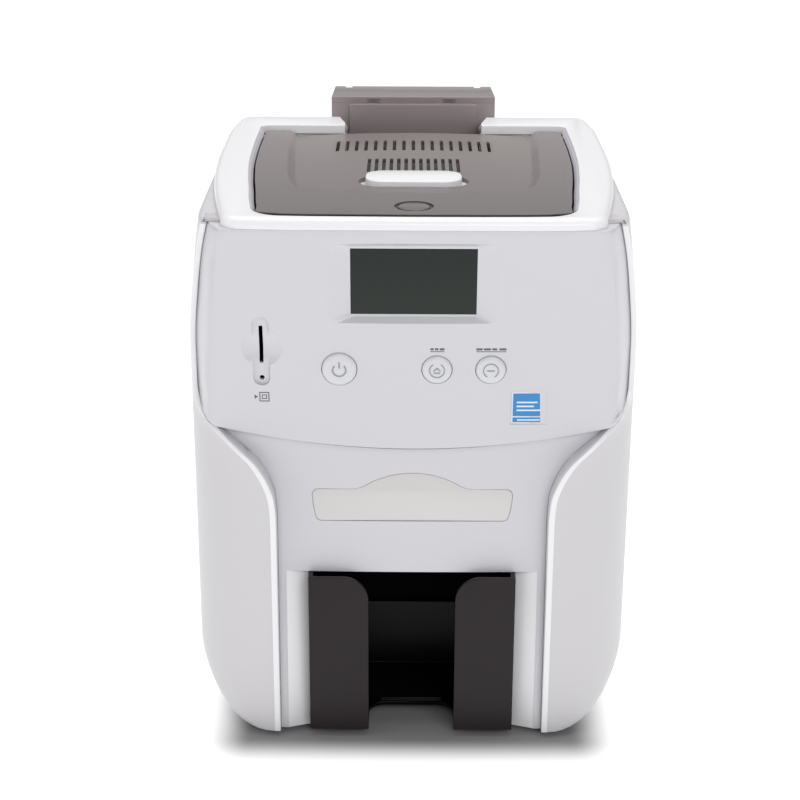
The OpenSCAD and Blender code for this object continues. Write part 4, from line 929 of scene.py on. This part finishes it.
# ---- pieces whose CAD form is right, with their edges rounded ----
rounded = [
    ("hopper_body", "smokeHopper", "hopper", "smoke_plastic", 0.7),
    ("hopper_lid", "smokeHopper", "hopper_lid", "smoke_plastic", 0.7),
    ("stacker", "stacker", "stacker", "dark_smoke", 0.6), ("rear_cover", "rear", "root", "white_plastic", 0.6),
    ("release_button", "rim", "release_button", "white_plastic", 0.8),
    ("lock_button", "smoke", "lock_button", "smoke_plastic", 0.6),
    ("card_weight", "steel", "card_weight", "sheet_steel", 0.5), ("base_tray", "black", "root", "black_plastic", 0.3),
]
flaps = dict(base=0.06, top=lower["mouthTop"] * 0.001 - 0.0002, behind=point(0, 5, 0).y, half=0.044)
for node, look, body, slotName, width in rounded:
    # the wall behind the top cover is open where the hopper's neck stands
    notch = planSlab("neckNotch", box(-36.6, 36.6, 215, 230), 236, 262) if node == "rear_cover" else None
    piece = roundedCopy(node, look, body, width, notch)
    if node == "stacker":
        # the flaps reach up to the mouth
        verts, base = piece.data.vertices, flaps["base"]
        top = max(v.co.z for v in verts if v.co.y < flaps["behind"] and abs(v.co.x) < flaps["half"])
        for v in verts:
            if v.co.z > base:
                v.co.z = min(base + (v.co.z - base) * (flaps["top"] - base) / (top - base), flaps["top"])
print("rounded pieces made")

# ---- front buttons with raised signs ----
raised = dict(low=0.9, high=1.42, line=0.6)


def pushButton(kind, x, r):
    bm = bmesh.new()
    profile = [(0, 1.25), (r * 0.6, 1.2), (r - 1.2, 1.05), (r - 0.45, 0.75), (r, 0.1), (r, -3.4), (r + 1.1, -3.4),
               (r + 1.1, -4.6), (0, -4.6)]
    verts = [bm.verts.new((a * 0.001, 0, b * 0.001)) for a, b in profile]
    edges = [bm.edges.new(pair) for pair in zip(verts, verts[1:])]
    bmesh.ops.spin(bm, geom=verts + edges, cent=(0, 0, 0), axis=(0, 0, 1), angle=2 * math.pi, steps=72, use_merge=True)
    bmesh.ops.remove_doubles(bm, verts=bm.verts, dist=0.000005)
    bmesh.ops.recalc_face_normals(bm, faces=bm.faces)
    bm.transform(onFace(x, keys["z"]))
    node = kind + "_button"
    finishPiece(makeObject(kind + "Button", bm), "button", node, nodes=[node], angle=40)

    bm = bmesh.new()
    low, high, line = raised["low"], raised["high"], raised["line"]

    # open ring: how far it sweeps and where it starts, in degrees
    def ring(radius, width, sweep, start):
        section = box(radius - width / 2, radius + width / 2, low, high)
        quad = [bm.verts.new((a * 0.001, 0, b * 0.001)) for a, b in section]
        face = bm.faces.new(quad)
        turned = Matrix.Rotation(math.radians(start), 3, "Z")
        bmesh.ops.rotate(bm, cent=(0, 0, 0), matrix=turned, verts=quad)
        bmesh.ops.spin(bm, geom=[face], cent=(0, 0, 0), axis=(0, 0, 1), angle=math.radians(sweep), steps=36)

    def bar(x, y, width, height, turn=0):
        cube = bmesh.ops.create_cube(bm, size=0.001)["verts"]
        bmesh.ops.scale(bm, vec=(width, height, high - low), verts=cube)
        turned = Matrix.Rotation(math.radians(turn), 3, "Z")
        bmesh.ops.rotate(bm, cent=(0, 0, 0), matrix=turned, verts=cube)
        bmesh.ops.translate(bm, vec=Vector((x, y, (high + low) / 2)) * 0.001, verts=cube)

    if kind == "power":
        ring(3.0, 0.7, 270, 135)
        bar(0, 2.4, 0.7, 3.0)
    elif kind == "eject":
        ring(3.4, 0.5, 300, 120)
        bar(0, -1.2, 3.0, line)
        bar(-0.75, 0.5, 2.3, line, 45)
        bar(0.75, 0.5, 2.3, line, -45)
    else:
        ring(3.4, 0.5, 300, -60)
        bar(0, 0, 3.4, line)
    bmesh.ops.recalc_face_normals(bm, faces=bm.faces)
    bm.transform(onFace(x, keys["z"]))
    finishPiece(makeObject(kind + "ButtonSign", bm), "sign", node)


for place in keys["places"]:
    pushButton(*place)
print("buttons made")


# ---- printed signs and the sticker: thin flats that lie on the panel ----
def printed(name, look, x, z, outlines, lift=0.06, thick=0.12, nodes=()):
    bm = bmesh.new()
    for outline in outlines:
        face = fillOutline(bm, [Vector((a, b, lift - frontBow(x + a, z + b))) * 0.001 for a, b in outline])
        pushOut(bm, [face], (0, 0, -thick * 0.001))
    bmesh.ops.recalc_face_normals(bm, faces=bm.faces)
    bm.transform(onFace(x, z))
    finishPiece(makeObject(name, bm), look, nodes=nodes)


# a closed band inside the edge of a rectangle
def frameBars(w, h, t):
    return [box(-w / 2, w / 2, h / 2 - t, h / 2), box(-w / 2, w / 2, -h / 2, -h / 2 + t),
            box(-w / 2, -w / 2 + t, -h / 2 + t, h / 2 - t), box(w / 2 - t, w / 2, -h / 2 + t, h / 2 - t)]


# underline with a row of short bars above it, in place of words
def barRow(half, bars):
    return [box(-half, half, -0.95, -0.6)] + [box(start, end, -0.1, 0.9) for start, end in bars]


signs = dict(cardX=-69.2, cardZ=173.6, keyZ=197.6, ejectX=10.9, ribbonX=35.3)
squares = [[(x + 1.1, z) for x, z in bar] for bar in frameBars(4.6, 4.8, 0.45) + frameBars(2.4, 2.2, 0.4)]
printed("cardSign", "ink", signs["cardX"], signs["cardZ"],
        squares + [[(-3.4, 1.1), (-3.4, -1.1), (-1.9, 0)]])
printed("ejectSign", "ink", signs["ejectX"], signs["keyZ"],
        barRow(3.2, ((-3.2, -1.7), (-1.1, 0.4), (1.0, 3.2))))
printed("ribbonSign", "ink", signs["ribbonX"], signs["keyZ"],
        barRow(6.8, ((-6.8, -4.0), (-3.4, -0.2), (0.4, 2.6), (3.6, 6.8))))
half, field = badge["half"], badge["field"]
printed("stickerEdge", "stickerWhite", badge["x"], badge["z"],
        [box(-half, half, -half, half)], -0.3, 0.3, ["sticker"])
printed("stickerField", "sticker", badge["x"], badge["z"],
        [box(-field, field, -4.2, field), box(-field, field, -field, -4.9)], -0.22, 0.1)
printed("stickerBars", "stickerWhite", badge["x"], badge["z"],
        [box(-5.6, 5.6, -1.6, -0.8), box(-5.6, 2.4, 0.4, 1.2), box(-5.6, 4.0, 2.4, 3.2), box(-5.2, 5.2, -6.5, -5.8)],
        -0.18, 0.08)
print("signs made")

# ---- every CAD node that still shows gets its finish ----
nodeLooks = dict(
    rubber="foot_front_left foot_front_right foot_rear_left foot_rear_right platen_roller exit_roller feed_roller "
           "pick_roller exit_pinch_roller cleaning_roller drive_belt",
    steel="chassis_left chassis_right strike_bar head_bracket drive_motor power_supply hinge_pin_left "
          "hinge_pin_right",
    # the bay liner is dark plastic, and its near-black well finish also paints the deep shade in the stacker bay
    well="bay_liner", black="card_guide fan_frame fan_rotor power_inlet power_switch card_reader",
    bright="usb_port network_port", ceramic="print_head", glass="lcd_window",
    board="lcd_module control_board main_board", film="supply_spool takeup_spool ribbon_film",
    brass="motor_pinion", nylon="idler_low idler_front idler_rear latch_hook")
for look, names in nodeLooks.items():
    for name in names.split():
        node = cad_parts[name]
        node.data.materials.clear()
        node.data.materials.append(looks[look])
print("CAD nodes dressed")

# ---- camera, from the photograph ----
camera = dict(place=(-3.1, -748, 455), down=20.5, yaw=0.216, roll=0.206, focal=1760, frameWidth=800, sensor=36)
down, yaw, roll = (math.radians(camera[k]) for k in ("down", "yaw", "roll"))
ahead = Vector((-math.sin(yaw) * math.cos(down), math.cos(yaw) * math.cos(down), -math.sin(down)))
level = Vector((math.cos(yaw), math.sin(yaw), 0))
upright = level.cross(ahead)
right = level * math.cos(roll) + upright * math.sin(roll)
up = -level * math.sin(roll) + upright * math.cos(roll)
optics = bpy.data.cameras.new("photoCamera")
optics.sensor_width, optics.lens = camera["sensor"], camera["focal"] / camera["frameWidth"] * camera["sensor"]
optics.clip_start, optics.clip_end = 0.05, 20
viewer = bpy.data.objects.new("photoCamera", optics)
bpy.context.collection.objects.link(viewer)
turn = Matrix((right, up, -ahead)).transposed().to_4x4()
viewer.matrix_world = Matrix.Translation(point(*camera["place"])) @ turn
bpy.context.scene.camera = viewer

# ---- floor and light ----
floorSet = dict(size=6.0, reflect=0.3, glow=0.92, paintedShadowSpread=0.026, sideInset=0.03, frontInset=-0.002)
bm = bmesh.new()
bmesh.ops.create_grid(bm, x_segments=1, y_segments=1, size=floorSet["size"])
floor = makeObject("studioFloor", bm)
paper = Finish("floorPaper", **{"Base Color": (floorSet["reflect"],) * 3 + (1,), "Roughness": 0.9,
                                "Emission Strength": 1.0, "Specular IOR Level": 0.0})
# painted shadow: the paper glows away from the printer's footprint and not at it, so a dark band round the foot is
# painted over the real shadow, and the rest is white
spot = paper.axes()
outX = abs(spot["X"]) - (case["halfWidth"] * 0.001 - floorSet["sideInset"])
outY = abs(spot["Y"]) - (case["depth"] * 0.0005 - floorSet["frontInset"])
away = (outX.atLeast(0) ** 2 + outY.atLeast(0) ** 2) ** 0.5
glow = paper.node("ShaderNodeMapRange", dict(interpolation_type="SMOOTHSTEP"),
                  {"Value": away, "From Max": floorSet["paintedShadowSpread"], "To Max": floorSet["glow"]})["Result"]
paper.set({"Emission Color": paper.blend(glow, (0, 0, 0, 1), (1, 1, 1, 1))})
floor.data.materials.append(paper.material)

# the camera sees a white world, and the printer is lit by a dimmer one
worldSet = dict(seen=((1, 1, 1, 1), 1.0), unseen=((0.98, 0.99, 1.0, 1), 0.32))
world = bpy.data.worlds.new("studio")
world.use_nodes = True
tree = world.node_tree
tree.nodes.clear()
out, path, mix, seen, unseen = (tree.nodes.new("ShaderNode" + kind) for kind in (
    "OutputWorld", "LightPath", "MixShader", "Background", "Background"))
for node, (colour, strength) in ((seen, worldSet["seen"]), (unseen, worldSet["unseen"])):
    node.inputs["Color"].default_value, node.inputs["Strength"].default_value = colour, strength
tree.links.new(path.outputs["Is Camera Ray"], mix.inputs[0])
tree.links.new(unseen.outputs[0], mix.inputs[1])
tree.links.new(seen.outputs[0], mix.inputs[2])
tree.links.new(mix.outputs[0], out.inputs[0])
bpy.context.scene.world = world
bpy.context.scene.view_settings.view_transform = "Standard"


def softBox(name, place, aim, size, power):
    light = bpy.data.lights.new(name, "AREA")
    light.shape, light.size, light.size_y = "RECTANGLE", size[0], size[1]
    light.energy = power
    lamp = bpy.data.objects.new(name, light)
    bpy.context.collection.objects.link(lamp)
    lamp.location = place
    lamp.rotation_euler = (Vector(aim) - Vector(place)).to_track_quat("-Z", "Y").to_euler()


softBox("topBox", (0.0, 0.25, 1.5), (0, 0, 0.1), (1.3, 1.1), 14)
softBox("backBox", (0.0, 1.7, 0.9), (0, 0, 0.2), (2.2, 0.9), 1.6)
softBox("frontBox", (0.5, -1.7, 1.1), (0, 0, 0.15), (1.2, 0.8), 11)
softBox("leftBox", (-1.3, -0.5, 0.6), (0, 0, 0.12), (0.7, 1.0), 2.5)
print("camera and lights set")
